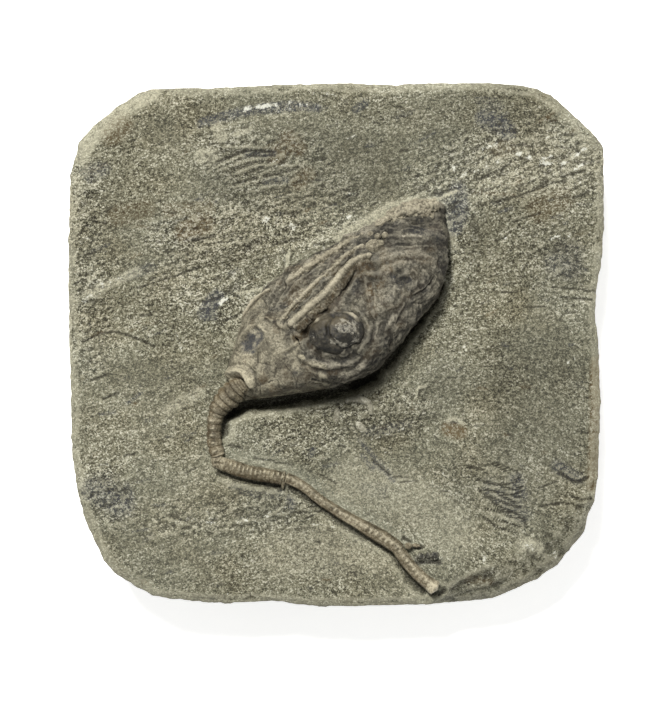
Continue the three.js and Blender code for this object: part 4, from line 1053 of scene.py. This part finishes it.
def body_relief(mesh):
    """Carves plates, folds and grain, which run on from the cup to the sac, and gives the tints' masks."""
    places = places_of(mesh)
    plan = places[:, :2]
    x, y = plan.T
    along, across, _ = ((places - CROWN_AT) @ np.array(CROWN_TURN)).T
    plates = smoothstep(CUP_END + 1.5, CUP_END - 2.5, along)
    high = smoothstep(8.5, 12, y)
    low_right = smoothstep(2, 7, x) * (1 - high)
    laid = noise(places, (1.9, 0.5, 0.9), 51) + 0.6 * noise(places, (1.1, 0.28, 0.6), 52)
    upright = noise(places, (0.6, 1.7, 1.0), 53) + 0.6 * noise(places, (0.32, 0.9, 0.6), 54)
    crumpled = noise(places, 1.1, 55) + 0.7 * noise(places, 0.55, 56)
    folds = 0.08 * laid * high + 0.11 * upright * low_right + 0.1 * crumpled * (1 - high)
    left = smoothstep(0.5, -2.5, x - 0.6 * y + 3.4)
    folds += 0.12 * noise(places, 0.42, 59) * left
    broken = 1 - (1 - plates) * np.clip(0.4 - 0.5 * noise(plan, 1.6, 61) - 0.25 * noise(plan, 0.7, 62), 0, 1)
    heights = (carve(plan, CUP_CARVING + SAC_CARVING) * broken + carve(plan, arm_beds())) * upper_side(mesh)
    heights += folds * (1 - 0.75 * plates) + 0.16 * noise(places, 2.6, 60) + 0.05 * noise(places, 0.8, 42)
    heights += (0.045 * noise(places, 0.34, 57) + 0.03 * noise(places, 0.22, 58)) * (1 - 0.55 * plates)
    push_out(mesh, heights)
    masks = tint_masks(plan, CUP_TINTS + SAC_TINTS)
    strengthen(masks, "brown", 0.6 * smoothstep(0.12, 0.5, noise(places, 1.9, 63)))
    strengthen(masks, "slate", 0.4 * (1 - plates) * smoothstep(0.15, 0.5, noise(places, 1.5, 64)))
    strengthen(masks, "pale", smoothstep(0.1, 0.4, noise(places, 1.4, 65)) * (0.3 + 0.25 * plates))
    toward_sac = smoothstep(CUP_END - 3.5, CUP_END, along) * smoothstep(CUP_END + 2, CUP_END, along)
    blotches = 0.8 * smoothstep(-0.1, 0.3, noise(places, 2.8, 66))
    blotches += 1.2 * smoothstep(0, 0.25, noise(places, 1.6, 67))
    # Painted shade on the crown's lower right-hand flank, which faces away from the light; the 0.3 added to
    # it below darkens the sac's tone all over.
    painted_shade_low_side = smoothstep(2.2, 6.2, -across) * 1.1
    masks["shade"] += 0.5 * toward_sac + 0.25 * plates
    masks["shade"] += (0.8 * blotches + 0.75 * high) * (1 - 0.7 * plates)
    masks["shade"] += (painted_shade_low_side + 0.3) * (1 - 0.6 * plates)
    return masks


def cup():
    mesh, inside = body_stretch("cup", 0, CUP_END, 260, 170)
    masks = body_relief(mesh)
    crests = {"crest_full": 0.07, "crest_share": inside}
    finish_piece(mesh, "cup", cup_plates(), ["cup"], "cup_plates", masks, **crests)


def sac():
    mesh, inside = body_stretch("anal_sac", CUP_END + CUP_SAC_GAP, CROWN_LENGTH, 320, 290)
    masks = body_relief(mesh)
    finish_piece(mesh, "anal_sac", sac_wall(), ["anal_sac"], "sac_wall", masks, crest_share=inside)


def rod(name, points, radii, around, along, end_round=0.35):
    """A rod whose middle follows the points: its mesh, and the distance along and angle at each vertex."""
    mesh, share, angle = blank(name, around, along)
    cap = CAP_RINGS / along
    body = np.clip((share - cap) / (1 - 2 * cap), 0, 1)
    tuck = np.clip(np.minimum(share, 1 - share) / cap, 0, 1)
    middle, ahead, length = follow(points, body)
    ahead /= np.linalg.norm(ahead, axis=1)[:, None]
    side = np.cross(ahead, (0, 0, 1))
    side /= np.linalg.norm(side, axis=1)[:, None]
    over = np.cross(side, ahead)
    radius = along_rows(radii, body)[:, 0]
    spread = radius * np.sqrt(1 - (1 - tuck) ** 2)
    dome = end_round * radius * (1 - spread / radius) * np.sign(share - 0.5)
    middle = middle + ahead * dome[:, None]
    put(mesh, middle + side * (spread * np.cos(angle))[:, None] + over * (spread * np.sin(angle))[:, None])
    face_outwards(mesh)
    return mesh, body * length, angle


def finish_arm_piece(mesh, name, masks, full=0.05):
    finish_piece(mesh, name, arm_plates(), [name], "arm_plates", masks, crest_full=full)


def arm(name, shape, seed):
    """One arm: a leaning crest with a soft flank, plates a joint apart, and a granular skin."""
    first, middle, last = shape["radii"]
    points = on_crown(trace(shape["route"], 6), shape["lift"])
    mesh, distance, angle = rod(name, points, [(0, first), (0.5, middle), (1, last)], 72, 240)
    places = places_of(mesh)
    share = distance / distance.max()
    crest = shape["lean"] * hump(angle, ARM_CREST_ANGLE, 0.42)
    flank = -0.2 * hump(angle, 1.1, 0.5)
    furrow = -0.13 * hump(angle, 1.6, 0.13) * smoothstep(0.62, 0.4, share)
    joints = np.abs((distance / shape["joint"] + 0.2 * noise(places, 0.8, seed)) % 1 - 0.5) * 2
    plates = -0.05 * smoothstep(0.8, 1, joints)
    skin = 0.09 * noise(places, 1.3, seed + 1) + 0.06 * noise(places, 0.5, seed + 2)
    skin += 0.035 * noise(places, 0.24, seed + 3)
    push_out(mesh, (crest + flank + furrow) * middle + plates + skin * shape["rough"])
    worn = smoothstep(0.05, 0.45, noise(places, 0.9, seed + 5))
    # Painted highlight, partly wear: the crest on the upper-left side, which faces the light, is paled.
    crest_wear_and_highlight = shape["crest"] * hump(angle, ARM_CREST_ANGLE, 0.35)
    # Brown and shade on the right-hand flank, which faces away from the light, are painted shade; the brown
    # is partly a stain.
    masks = {
        "pale": np.clip(crest_wear_and_highlight + 0.4 * worn + shape["pale"], 0, 1),
        "brown": 0.9 * hump(angle, 0.7, 0.6) * (1 - shape["pale"]),
        "slate": 0.4 * smoothstep(0.2, 0.5, noise(places, 1.2, seed + 6)),
        "shade": (1.3 - 1.3 * shape["pale"]) * hump(angle, 0.65, 0.55),
    }
    finish_arm_piece(mesh, name, masks)


def pebble(name, centre, size, turn, seed, rough=1.0, detail=44):
    """A small rounded lump of three half sizes with an uneven skin."""
    mesh, _, _ = blank(name, detail, detail * 2 // 3)
    places = places_of(mesh) * size
    turned = places @ np.array(Matrix.Rotation(math.radians(turn), 3, "Z")).T
    put(mesh, turned + centre)
    face_outwards(mesh)
    small = min(size)
    places = places_of(mesh)
    heights = 0.2 * noise(places, 0.9 * small, seed) + 0.1 * noise(places, 0.4 * small, seed + 1)
    push_out(mesh, rough * small * heights)
    return mesh


def fork_plate():
    centre = on_crown([PLATE["at"]], 0.12)[0]
    turn = CROWN_HEADING + PLATE["turn"]
    mesh = pebble("fork_plate", centre, PLATE["size"], turn, 70, rough=0.8, detail=80)
    masks = {"pale": np.full(len(mesh.vertices), 0.35)}
    finish_arm_piece(mesh, "fork_plate", masks)


def ossicles():
    for number, at in enumerate(OSSICLES, 1):
        name = f"arm_ossicle_{number}"
        centre = on_crown([at], 0.08)[0]
        mesh = pebble(name, centre, (0.42, 0.38, 0.4), 30 * number, 72 + number, rough=0.7)
        masks = {"pale": np.full(len(mesh.vertices), 0.2)}
        finish_arm_piece(mesh, name, masks, 0.04)


def snail():
    """A small domed shell, its coil worn through to a speckled boss."""
    centre = on_crown([SNAIL["at"]], SNAIL["rise"])[0]
    turn = CROWN_HEADING + SNAIL["turn"]
    mesh = pebble("snail_shell", centre, SNAIL["size"], turn, 80, rough=0.12, detail=220)
    places = places_of(mesh)
    plan = places[:, :2]
    heights = carve(plan, SNAIL_CARVING) * upper_side(mesh)
    heights += 0.05 * noise(places, 0.7, 81) + 0.035 * noise(places, 0.3, 82)
    push_out(mesh, heights)
    masks = tint_masks(plan, SNAIL_TINTS)
    finish_piece(mesh, "snail_shell", snail_calcite(), ["snail_shell"], "snail_calcite", masks)


# ---- The stem and the small pieces in the bed ----


def ring_edges(length, pitch_rows, seed):
    """Distances at which one ring of the stem ends and the next begins."""
    random = np.random.default_rng(seed)
    edges = [0.0]
    while edges[-1] < length:
        pitch = np.interp(edges[-1] / length, *zip(*pitch_rows))
        edges.append(edges[-1] + pitch * random.uniform(0.85, 1.15))
    return np.array(edges)


def stem_stretch(name, shape, seed):
    """A stretch of stem: rounded rings, some with a bead, and lines along the top of the thin stretches."""
    points = [(x, y, BED + lift) for x, y, lift, _ in shape["points"]]
    last = len(points) - 1
    radii = [(k / last, point[3]) for k, point in enumerate(shape["points"])]
    mesh, distance, angle = rod(name, points, radii, 84, 320)
    places = places_of(mesh)
    length = distance.max()
    edges = ring_edges(length, shape["pitch"], seed)
    ring = np.clip(np.searchsorted(edges, distance, side="right") - 1, 0, len(edges) - 2)
    width = edges[ring + 1] - edges[ring]
    across = (distance - edges[ring]) / width * 2 - 1
    random = np.random.default_rng(seed + 1)
    standing = random.uniform(0.75, 1.15, len(edges))[ring]
    heights = shape["relief"] * standing * (1 - np.abs(across) ** 2.3) * np.minimum(width / 0.45, 1.4)
    heights *= 1 - shape["flatter"] * smoothstep(0.46, 0.56, distance / length)
    bead_angle = (shape["bead_at"] + random.normal(0, 0.08, len(edges)))[ring]
    bead = np.exp(-((across * width / 0.3) ** 2) - ((angle - bead_angle) / 0.3) ** 2)
    beaded = bead * smoothstep(shape["nub_from"], shape["nub_from"] + 0.1, distance / length + 0.001)
    heights += shape["nub"] * beaded * standing
    line = hump(angle, 1.9, 0.3) + 0.6 * hump(angle, 0.75, 0.22)
    heights += shape["ridge"] * line
    heights += 0.04 * noise(places, 0.8, seed + 2) + 0.025 * noise(places, 0.3, seed + 3)
    push_out(mesh, heights)
    pale = np.clip(0.9 * beaded + (0.35 * line if shape["ridge"] else 0), 0, 1)
    if name == "stem_end":
        pale += 0.9 * smoothstep(length - 1.1, length - 0.4, distance)
    masks = {
        "pale": pale,
        "brown": shape["joint"] * smoothstep(0.7, 1, np.abs(across)) + 0.6 * hump(angle, 0.45, 0.5),
        "shade": shape["stain"] * smoothstep(-0.2, 0.3, noise(places, 1.6, seed + 4)),
    }
    crest_full = shape["full"]
    finish_piece(mesh, name, stem_columnals(), [name], "stem_columnals", masks, crest_full=crest_full)


def small_pieces():
    """The loose rings, side-root pieces, mineral grains and shell chips that lie in the bed."""
    finishes = {
        "mineral": (dark_mineral, "dark_mineral", 1.3),
        "shell": (pale_shell, "pale_shell", 0.8),
    }
    for number, (name, lump) in enumerate(LUMPS.items()):
        material, slot, rough = finishes.get(name.split("_")[0], (stem_columnals, "stem_columnals", 0.9))
        x, y, lift = lump["at"]
        base = bed_height(np.array([[x, y]]))[0] if slot != "stem_columnals" else BED
        mesh = pebble(name, (x, y, base + lift), lump["size"], lump["turn"], 100 + 3 * number, rough)
        finish_piece(mesh, name, material(), [name], slot, crest_full=0.05)


def shell_arc():
    plan = np.array(SHELL_ARC)
    points = np.column_stack([plan, bed_height(plan) + 0.12])
    radii = [(0, 0.3), (0.4, 0.46), (0.7, 0.42), (1, 0.24)]
    mesh, _, _ = rod("shell_chip_arc", points, radii, 48, 120)
    places = places_of(mesh)
    push_out(mesh, 0.05 * noise(places, 0.6, 131) + 0.03 * noise(places, 0.25, 132))
    finish_piece(mesh, "shell_chip_arc", pale_shell(), ["shell_chip_arc"], "pale_shell", crest_full=0.05)


# ---- Finishes ----


def tone(red, green, blue):
    """A colour from its screen values, 0 to 255."""
    def linear(value):
        value /= 255
        return value / 12.92 if value <= 0.04045 else ((value + 0.055) / 1.055) ** 2.4
    return (linear(red), linear(green), linear(blue), 1)


def feed(tree, socket, value):
    """Links a socket to another, or sets its value; None leaves it as it is."""
    if isinstance(value, bpy.types.NodeSocket):
        tree.links.new(value, socket)
    elif value is not None:
        socket.default_value = value


def add(tree, kind, inputs=None, **settings):
    """A node with its settings, and its inputs by name or number."""
    node = tree.nodes.new(kind)
    for name, value in settings.items():
        setattr(node, name, value)
    for key, value in (inputs or {}).items():
        feed(tree, node.inputs[key], value)
    return node


def maths(tree, operation, a, b, clamp=False):
    return add(tree, "ShaderNodeMath", {0: a, 1: b}, operation=operation, use_clamp=clamp).outputs[0]


def times(tree, a, b, clamp=False):
    return maths(tree, "MULTIPLY", a, b, clamp)


def plus(tree, a, b):
    return maths(tree, "ADD", a, b)


def minus(tree, a, b):
    return maths(tree, "SUBTRACT", a, b)


def blend(tree, share, a, b, mode="MIX"):
    node = add(tree, "ShaderNodeMix", {0: share, 6: a, 7: b}, data_type="RGBA", blend_type=mode)
    return node.outputs[2]


def band(tree, value, low, high, to_low=0.0, to_high=1.0):
    """A value that rises smoothly from one level to another between low and high."""
    inputs = {"Value": value, "From Min": low, "From Max": high, "To Min": to_low, "To Max": to_high}
    return add(tree, "ShaderNodeMapRange", inputs, interpolation_type="SMOOTHSTEP").outputs[0]


def speckle(tree, place, scale, detail=2.0, roughness=0.6):
    inputs = {"Vector": place, "Scale": scale, "Detail": detail, "Roughness": roughness}
    return add(tree, "ShaderNodeTexNoise", inputs).outputs[0]


def object_place(tree):
    return add(tree, "ShaderNodeTexCoord").outputs["Object"]


def attribute(tree, name, output="Fac"):
    return add(tree, "ShaderNodeAttribute", attribute_name=name).outputs[output]


def new_group(name, inputs, outputs):
    """An empty node group with named sockets: the tree, its input node and its output node."""
    tree = bpy.data.node_groups.new(name, "ShaderNodeTree")
    for label, kind, value in inputs:
        socket = tree.interface.new_socket(name=label, in_out="INPUT", socket_type=kind)
        if value is not None:
            socket.default_value = value
    for label, kind in outputs:
        tree.interface.new_socket(name=label, in_out="OUTPUT", socket_type=kind)
    return tree, tree.nodes.new("NodeGroupInput").outputs, tree.nodes.new("NodeGroupOutput").inputs


def use_group(tree, group, **inputs):
    node = add(tree, "ShaderNodeGroup", node_tree=group)
    for name, value in inputs.items():
        feed(tree, node.inputs[name.replace("_", " ")], value)
    return node.outputs


def once(make):
    """Makes a material or group the first time it is asked for, and hands back the same one after."""
    made = []

    def give():
        if not made:
            made.append(make())
        return made[0]

    return give


@once
def grain_group():
    """Mineral grain: a tone from 0 to 1 and a height, from clustered grains of a given number per metre."""
    tree, given, out = new_group(
        "mineral_grain",
        [("Place", "NodeSocketVector", None), ("Grains per Metre", "NodeSocketFloat", 3000.0)],
        [("Tone", "NodeSocketFloat"), ("Height", "NodeSocketFloat")],
    )
    place, count = given["Place"], given["Grains per Metre"]
    cells = add(tree, "ShaderNodeTexVoronoi", {"Vector": place, "Scale": count}, feature="F1")
    shade = add(tree, "ShaderNodeSeparateColor", {0: cells.outputs["Color"]}).outputs[0]
    clouds = speckle(tree, place, times(tree, count, 0.5), 5.0, 0.75)
    fine = speckle(tree, place, times(tree, count, 1.5), 2.0, 0.8)
    mixed = plus(tree, times(tree, shade, 0.6), times(tree, clouds, 0.8))
    mixed = plus(tree, mixed, times(tree, fine, 0.9))
    feed(tree, out["Tone"], band(tree, mixed, 0.6, 1.7))
    domes = times(tree, minus(tree, 0.7, cells.outputs["Distance"]), 0.6)
    feed(tree, out["Height"], plus(tree, plus(tree, domes, clouds), fine))
    return tree


@once
def stain_and_shade_group():
    """Lays stains, painted shade in the hollows and pale crests over a colour; the crests' paleness is partly
    wear and partly painted highlight.
    """
    sockets = [
        ("Colour", "NodeSocketColor", None),
        ("Pale", "NodeSocketColor", tone(196, 192, 172)),
        ("Breakup", "NodeSocketFloat", 0.5),
        ("Hollow", "NodeSocketFloat", 0.55),
        ("Crest", "NodeSocketFloat", 0.4),
    ]
    tree, given, out = new_group("stains_and_painted_shade", sockets, [("Colour", "NodeSocketColor")])
    breakup = given["Breakup"]
    colour = given["Colour"]
    stains = [
        ("brown", tone(84, 66, 38), 0.75),
        ("slate", tone(54, 56, 60), 0.85),
    ]
    for name, stain, strength in stains:
        patchy = band(tree, breakup, 0.05, 0.75, 1.2, 0.35)
        share = times(tree, attribute(tree, name), patchy, clamp=True)
        colour = blend(tree, times(tree, share, strength), colour, stain)
    # The shade mask darkens: darker stone and stains, and painted shade where the pieces lay it (flanks
    # turned from the light, cracks, the groove under the arm tips).
    dim = times(tree, attribute(tree, "shade"), 0.5, clamp=True)
    colour = blend(tree, dim, colour, tone(138, 136, 132), "MULTIPLY")
    patchy = band(tree, breakup, 0.2, 0.8, 0.45, 1.1)
    share = times(tree, attribute(tree, "pale"), patchy, clamp=True)
    colour = blend(tree, times(tree, share, 0.8), colour, given["Pale"])
    # Painted shade: hollows, where the crest value is low, are darkened towards near black.
    crest = attribute(tree, "crest")
    hollow = times(tree, band(tree, crest, 0.05, -0.9), given["Hollow"])
    colour = blend(tree, hollow, colour, tone(34, 31, 23))
    # Painted highlight, partly wear: crests are paled.
    worn = times(tree, band(tree, crest, 0.1, 0.95), given["Crest"])
    feed(tree, out["Colour"], blend(tree, worn, colour, given["Pale"]))
    return tree


@once
def fleck_group():
    """Small bright flecks: few of them everywhere, and many where the amount is high."""
    tree, given, out = new_group(
        "shell_flecks",
        [("Place", "NodeSocketVector", None), ("Amount", "NodeSocketFloat", 0.0)],
        [("Mask", "NodeSocketFloat")],
    )
    sparks = speckle(tree, given["Place"], 3400, 4.0, 0.85)
    level = minus(tree, 0.72, times(tree, given["Amount"], 0.3))
    feed(tree, out["Mask"], band(tree, minus(tree, sparks, level), 0.0, 0.1))
    return tree


def new_material(name):
    material = bpy.data.materials.new(name)
    material.use_nodes = True
    tree = material.node_tree
    shader = next(node for node in tree.nodes if node.type == "BSDF_PRINCIPLED")
    return material, tree, shader


def dress(tree, shader, colour, roughness, specular, normal=None):
    """Puts a finish's colour, roughness, specular level and bump on its shader."""
    feed(tree, shader.inputs["Base Color"], colour)
    feed(tree, shader.inputs["Roughness"], roughness)
    feed(tree, shader.inputs["Specular IOR Level"], specular)
    feed(tree, shader.inputs["Normal"], normal)


def bump(tree, height, depth, before=None):
    """A bump of the given depth in metres, over another one if there is one."""
    inputs = {"Height": height, "Distance": depth, "Strength": 1.0, "Normal": before}
    return add(tree, "ShaderNodeBump", inputs).outputs[0]


def steps(tree, value, colours):
    """A colour that passes through a list of (level, colour) as the value rises."""
    node = add(tree, "ShaderNodeValToRGB", {0: value})
    elements = node.color_ramp.elements
    while len(elements) < len(colours):
        elements.new(0.5)
    for element, (level, colour) in zip(elements, colours):
        element.position = level
        element.color = colour
    return node.outputs[0]


@once
def siltstone():
    material, tree, shader = new_material("siltstone")
    place = attribute(tree, "bedding", "Vector")
    spot = object_place(tree)
    quiet = attribute(tree, "quiet")
    streaky = use_group(tree, grain_group(), Place=place, Grains_per_Metre=6000.0)
    sandy = use_group(tree, grain_group(), Place=spot, Grains_per_Metre=6400.0)
    tone_mix = plus(tree, times(tree, streaky["Tone"], 0.34), times(tree, sandy["Tone"], 0.76))
    sharper = plus(tree, times(tree, attribute(tree, "rough"), 0.45), 1.08)
    tone_mix = times(tree, minus(tree, tone_mix, 0.56), sharper)
    drift = speckle(tree, place, 420, 4.0, 0.6)
    tone_mix = plus(tree, tone_mix, band(tree, drift, 0.25, 0.75, 0.38, 0.56))
    broad = speckle(tree, place, 150, 3.0, 0.5)
    tone_mix = plus(tree, tone_mix, band(tree, broad, 0.3, 0.7, -0.055, 0.055))
    tone_mix = plus(tree, tone_mix, times(tree, quiet, 0.05))
    colour = steps(tree, tone_mix, [
        (0.08, tone(38, 36, 27)), (0.3, tone(80, 77, 61)), (0.5, tone(107, 105, 87)),
        (0.7, tone(134, 132, 113)), (0.92, tone(184, 182, 166)),
    ])
    warm = band(tree, speckle(tree, spot, 95, 3.0), 0.42, 0.72, 0.0, 0.35)
    colour = blend(tree, warm, colour, tone(214, 198, 166), "MULTIPLY")
    cool = band(tree, speckle(tree, spot, 70, 2.0), 0.4, 0.6, 0.0, 0.2)
    cool = maths(tree, "MAXIMUM", cool, times(tree, quiet, 0.4))
    colour = blend(tree, cool, colour, tone(118, 120, 106))
    # Painted shade in the stone's hollows, and painted highlight, partly wear, on its crests.
    stains_and_shade = {"Breakup": sandy["Tone"], "Hollow": 0.62, "Crest": 0.32, "Pale": tone(168, 165, 144)}
    colour = use_group(tree, stain_and_shade_group(), Colour=colour, **stains_and_shade)[0]
    flecks = use_group(tree, fleck_group(), Place=spot, Amount=attribute(tree, "white"))[0]
    colour = blend(tree, times(tree, flecks, 0.85), colour, tone(200, 200, 188))
    fine = bump(tree, sandy["Height"], 0.00004, bump(tree, streaky["Height"], 0.00002))
    dress(tree, shader, colour, band(tree, flecks, 0, 1, 0.88, 0.55), 0.3, fine)
    return material


def fossil_finish(name, colours, grains, depth, hollow, crest, pale, roughness):
    """The finish that the fossil's plates share: a fine grain, stains, painted shade in the hollows, and pale
    crests that are partly wear and partly painted highlight.
    """
    material, tree, shader = new_material(name)
    spot = object_place(tree)
    grain = use_group(tree, grain_group(), Place=spot, Grains_per_Metre=grains)
    drift = speckle(tree, spot, 520, 4.0, 0.62)
    mixed = plus(tree, times(tree, grain["Tone"], 0.7), band(tree, drift, 0.2, 0.8, -0.2, 0.5))
    levels = (0.05, 0.38, 0.62, 0.95)
    colour = steps(tree, mixed, [(level, tone(*each)) for level, each in zip(levels, colours)])
    stains_and_shade = {"Breakup": grain["Tone"], "Hollow": hollow, "Crest": crest, "Pale": tone(*pale)}
    colour = use_group(tree, stain_and_shade_group(), Colour=colour, **stains_and_shade)[0]
    gloss = band(tree, grain["Tone"], 0, 1, roughness + 0.08, roughness - 0.08)
    dress(tree, shader, colour, gloss, 0.4, bump(tree, grain["Height"], depth))
    return material


@once
def cup_plates():
    colours = [(56, 51, 41), (94, 89, 74), (113, 108, 91), (146, 140, 121)]
    return fossil_finish("cup_plates", colours, 5000.0, 0.00003, 0.6, 0.35, (166, 159, 136), 0.74)


@once
def sac_wall():
    colours = [(40, 38, 30), (74, 70, 58), (94, 90, 76), (136, 131, 114)]
    return fossil_finish("sac_wall", colours, 4800.0, 0.00004, 0.42, 0.2, (160, 154, 136), 0.78)


@once
def arm_plates():
    colours = [(50, 45, 33), (86, 80, 65), (107, 101, 84), (144, 138, 119)]
    return fossil_finish("arm_plates", colours, 5000.0, 0.000035, 0.6, 0.35, (164, 157, 136), 0.78)


@once
def stem_columnals():
    colours = [(50, 44, 30), (88, 80, 61), (108, 100, 81), (144, 136, 114)]
    return fossil_finish("stem_columnals", colours, 5200.0, 0.00003, 0.6, 0.36, (178, 170, 146), 0.72)


@once
def pale_shell():
    colours = [(96, 92, 78), (128, 125, 108), (146, 143, 127), (174, 172, 156)]
    return fossil_finish("pale_shell", colours, 4600.0, 0.00003, 0.4, 0.25, (176, 173, 157), 0.62)


@once
def dark_mineral():
    colours = [(22, 22, 18), (44, 43, 36), (68, 66, 56), (140, 138, 124)]
    return fossil_finish("dark_mineral", colours, 4600.0, 0.00006, 0.6, 0.25, (150, 148, 130), 0.6)


@once
def snail_calcite():
    """Dark, half glassy calcite, broken up by pale crystals where it is worn."""
    material, tree, shader = new_material("snail_calcite")
    spot = object_place(tree)
    grain = use_group(tree, grain_group(), Place=spot, Grains_per_Metre=3000.0)
    clouds = speckle(tree, spot, 1100, 4.0, 0.7)
    colour = steps(tree, clouds, [
        (0.3, tone(18, 17, 15)), (0.48, tone(38, 36, 31)),
        (0.62, tone(66, 62, 52)), (0.78, tone(100, 95, 80)),
    ])
    worn = attribute(tree, "pale")
    level = minus(tree, 0.84, times(tree, worn, 0.5))
    frost = plus(tree, times(tree, grain["Tone"], 0.5), times(tree, clouds, 0.55))
    crystals = band(tree, minus(tree, frost, level), -0.03, 0.3)
    colour = blend(tree, times(tree, attribute(tree, "brown"), 0.45), colour, tone(104, 93, 68))
    colour = blend(tree, times(tree, crystals, 0.72), colour, tone(142, 138, 125))
    # Painted shade: the shell's hollows are darkened.
    hollow = times(tree, band(tree, attribute(tree, "crest"), 0.0, -0.8), 0.7)
    colour = blend(tree, hollow, colour, tone(30, 28, 25))
    colour = blend(tree, times(tree, attribute(tree, "white"), 0.9), colour, tone(150, 143, 124))
    gloss = band(tree, crystals, 0, 1, 0.6, 0.68)
    dress(tree, shader, colour, gloss, 0.3, bump(tree, grain["Height"], 0.00005))
    return material


@once
def pale_floor():
    material, tree, shader = new_material("pale_floor")
    spot = object_place(tree)
    mottle = speckle(tree, spot, 60, 3.0)
    colour = steps(tree, mottle, [(0.3, tone(250, 250, 249)), (0.7, tone(254, 254, 254))])
    dress(tree, shader, colour, 0.9, 0.1)
    shader.inputs["Emission Color"].default_value = tone(254, 254, 253)
    shader.inputs["Emission Strength"].default_value = 0.65
    return material


# ---- The studio ----

VIEW_CENTRE = Vector((-0.42, -0.78, BED)) * MM  # what the camera looks down on
VIEW_HEIGHT = 0.0846  # height of the field of view at the bed
CAMERA_DISTANCE = 0.3


def camera():
    data = bpy.data.cameras.new("camera")
    data.sensor_fit = "VERTICAL"
    data.sensor_height = 24
    data.lens = data.sensor_height * CAMERA_DISTANCE / VIEW_HEIGHT
    data.clip_start = 0.01
    data.clip_end = 20
    item = bpy.data.objects.new("camera", data)
    item.location = VIEW_CENTRE + Vector((0, 0, CAMERA_DISTANCE))
    bpy.context.scene.collection.objects.link(item)
    bpy.context.scene.camera = item


def lamp(name, place, size, power, colour=(1, 1, 1)):
    data = bpy.data.lights.new(name, "AREA")
    data.size = size
    data.energy = power
    data.color = colour
    item = bpy.data.objects.new(name, data)
    item.location = place
    item.rotation_euler = (Vector((0, 0, BED * MM)) - item.location).to_track_quat("-Z", "Y").to_euler()
    bpy.context.scene.collection.objects.link(item)


def studio():
    bm = bmesh.new()
    bmesh.ops.create_grid(bm, x_segments=8, y_segments=8, size=1.5)
    floor = bpy.data.objects.new("floor", mesh_from(bm, "floor"))
    floor.data.materials.append(pale_floor())
    bpy.context.scene.collection.objects.link(floor)
    lamp("key", Vector((-0.17, 0.42, 0.78)), 0.17, 12.5, (1.0, 0.985, 0.955))
    lamp("fill", Vector((0.6, -0.5, 0.8)), 0.9, 1.2, (0.95, 0.975, 1.0))
    world = bpy.data.worlds.new("studio")
    world.use_nodes = True
    world.node_tree.nodes["Background"].inputs["Color"].default_value = (1, 1, 1, 1)
    world.node_tree.nodes["Background"].inputs["Strength"].default_value = 0.3
    bpy.context.scene.world = world
    bpy.context.scene.view_settings.view_transform = "Standard"


def fossil():
    slab()
    cup()
    sac()
    for number, (name, shape) in enumerate(ARMS.items()):
        arm(name, shape, 200 + 10 * number)
    fork_plate()
    ossicles()
    snail()
    for number, (name, shape) in enumerate(STEM.items()):
        stem_stretch(name, shape, 300 + 10 * number)
    small_pieces()
    shell_arc()


camera()
studio()
fossil()
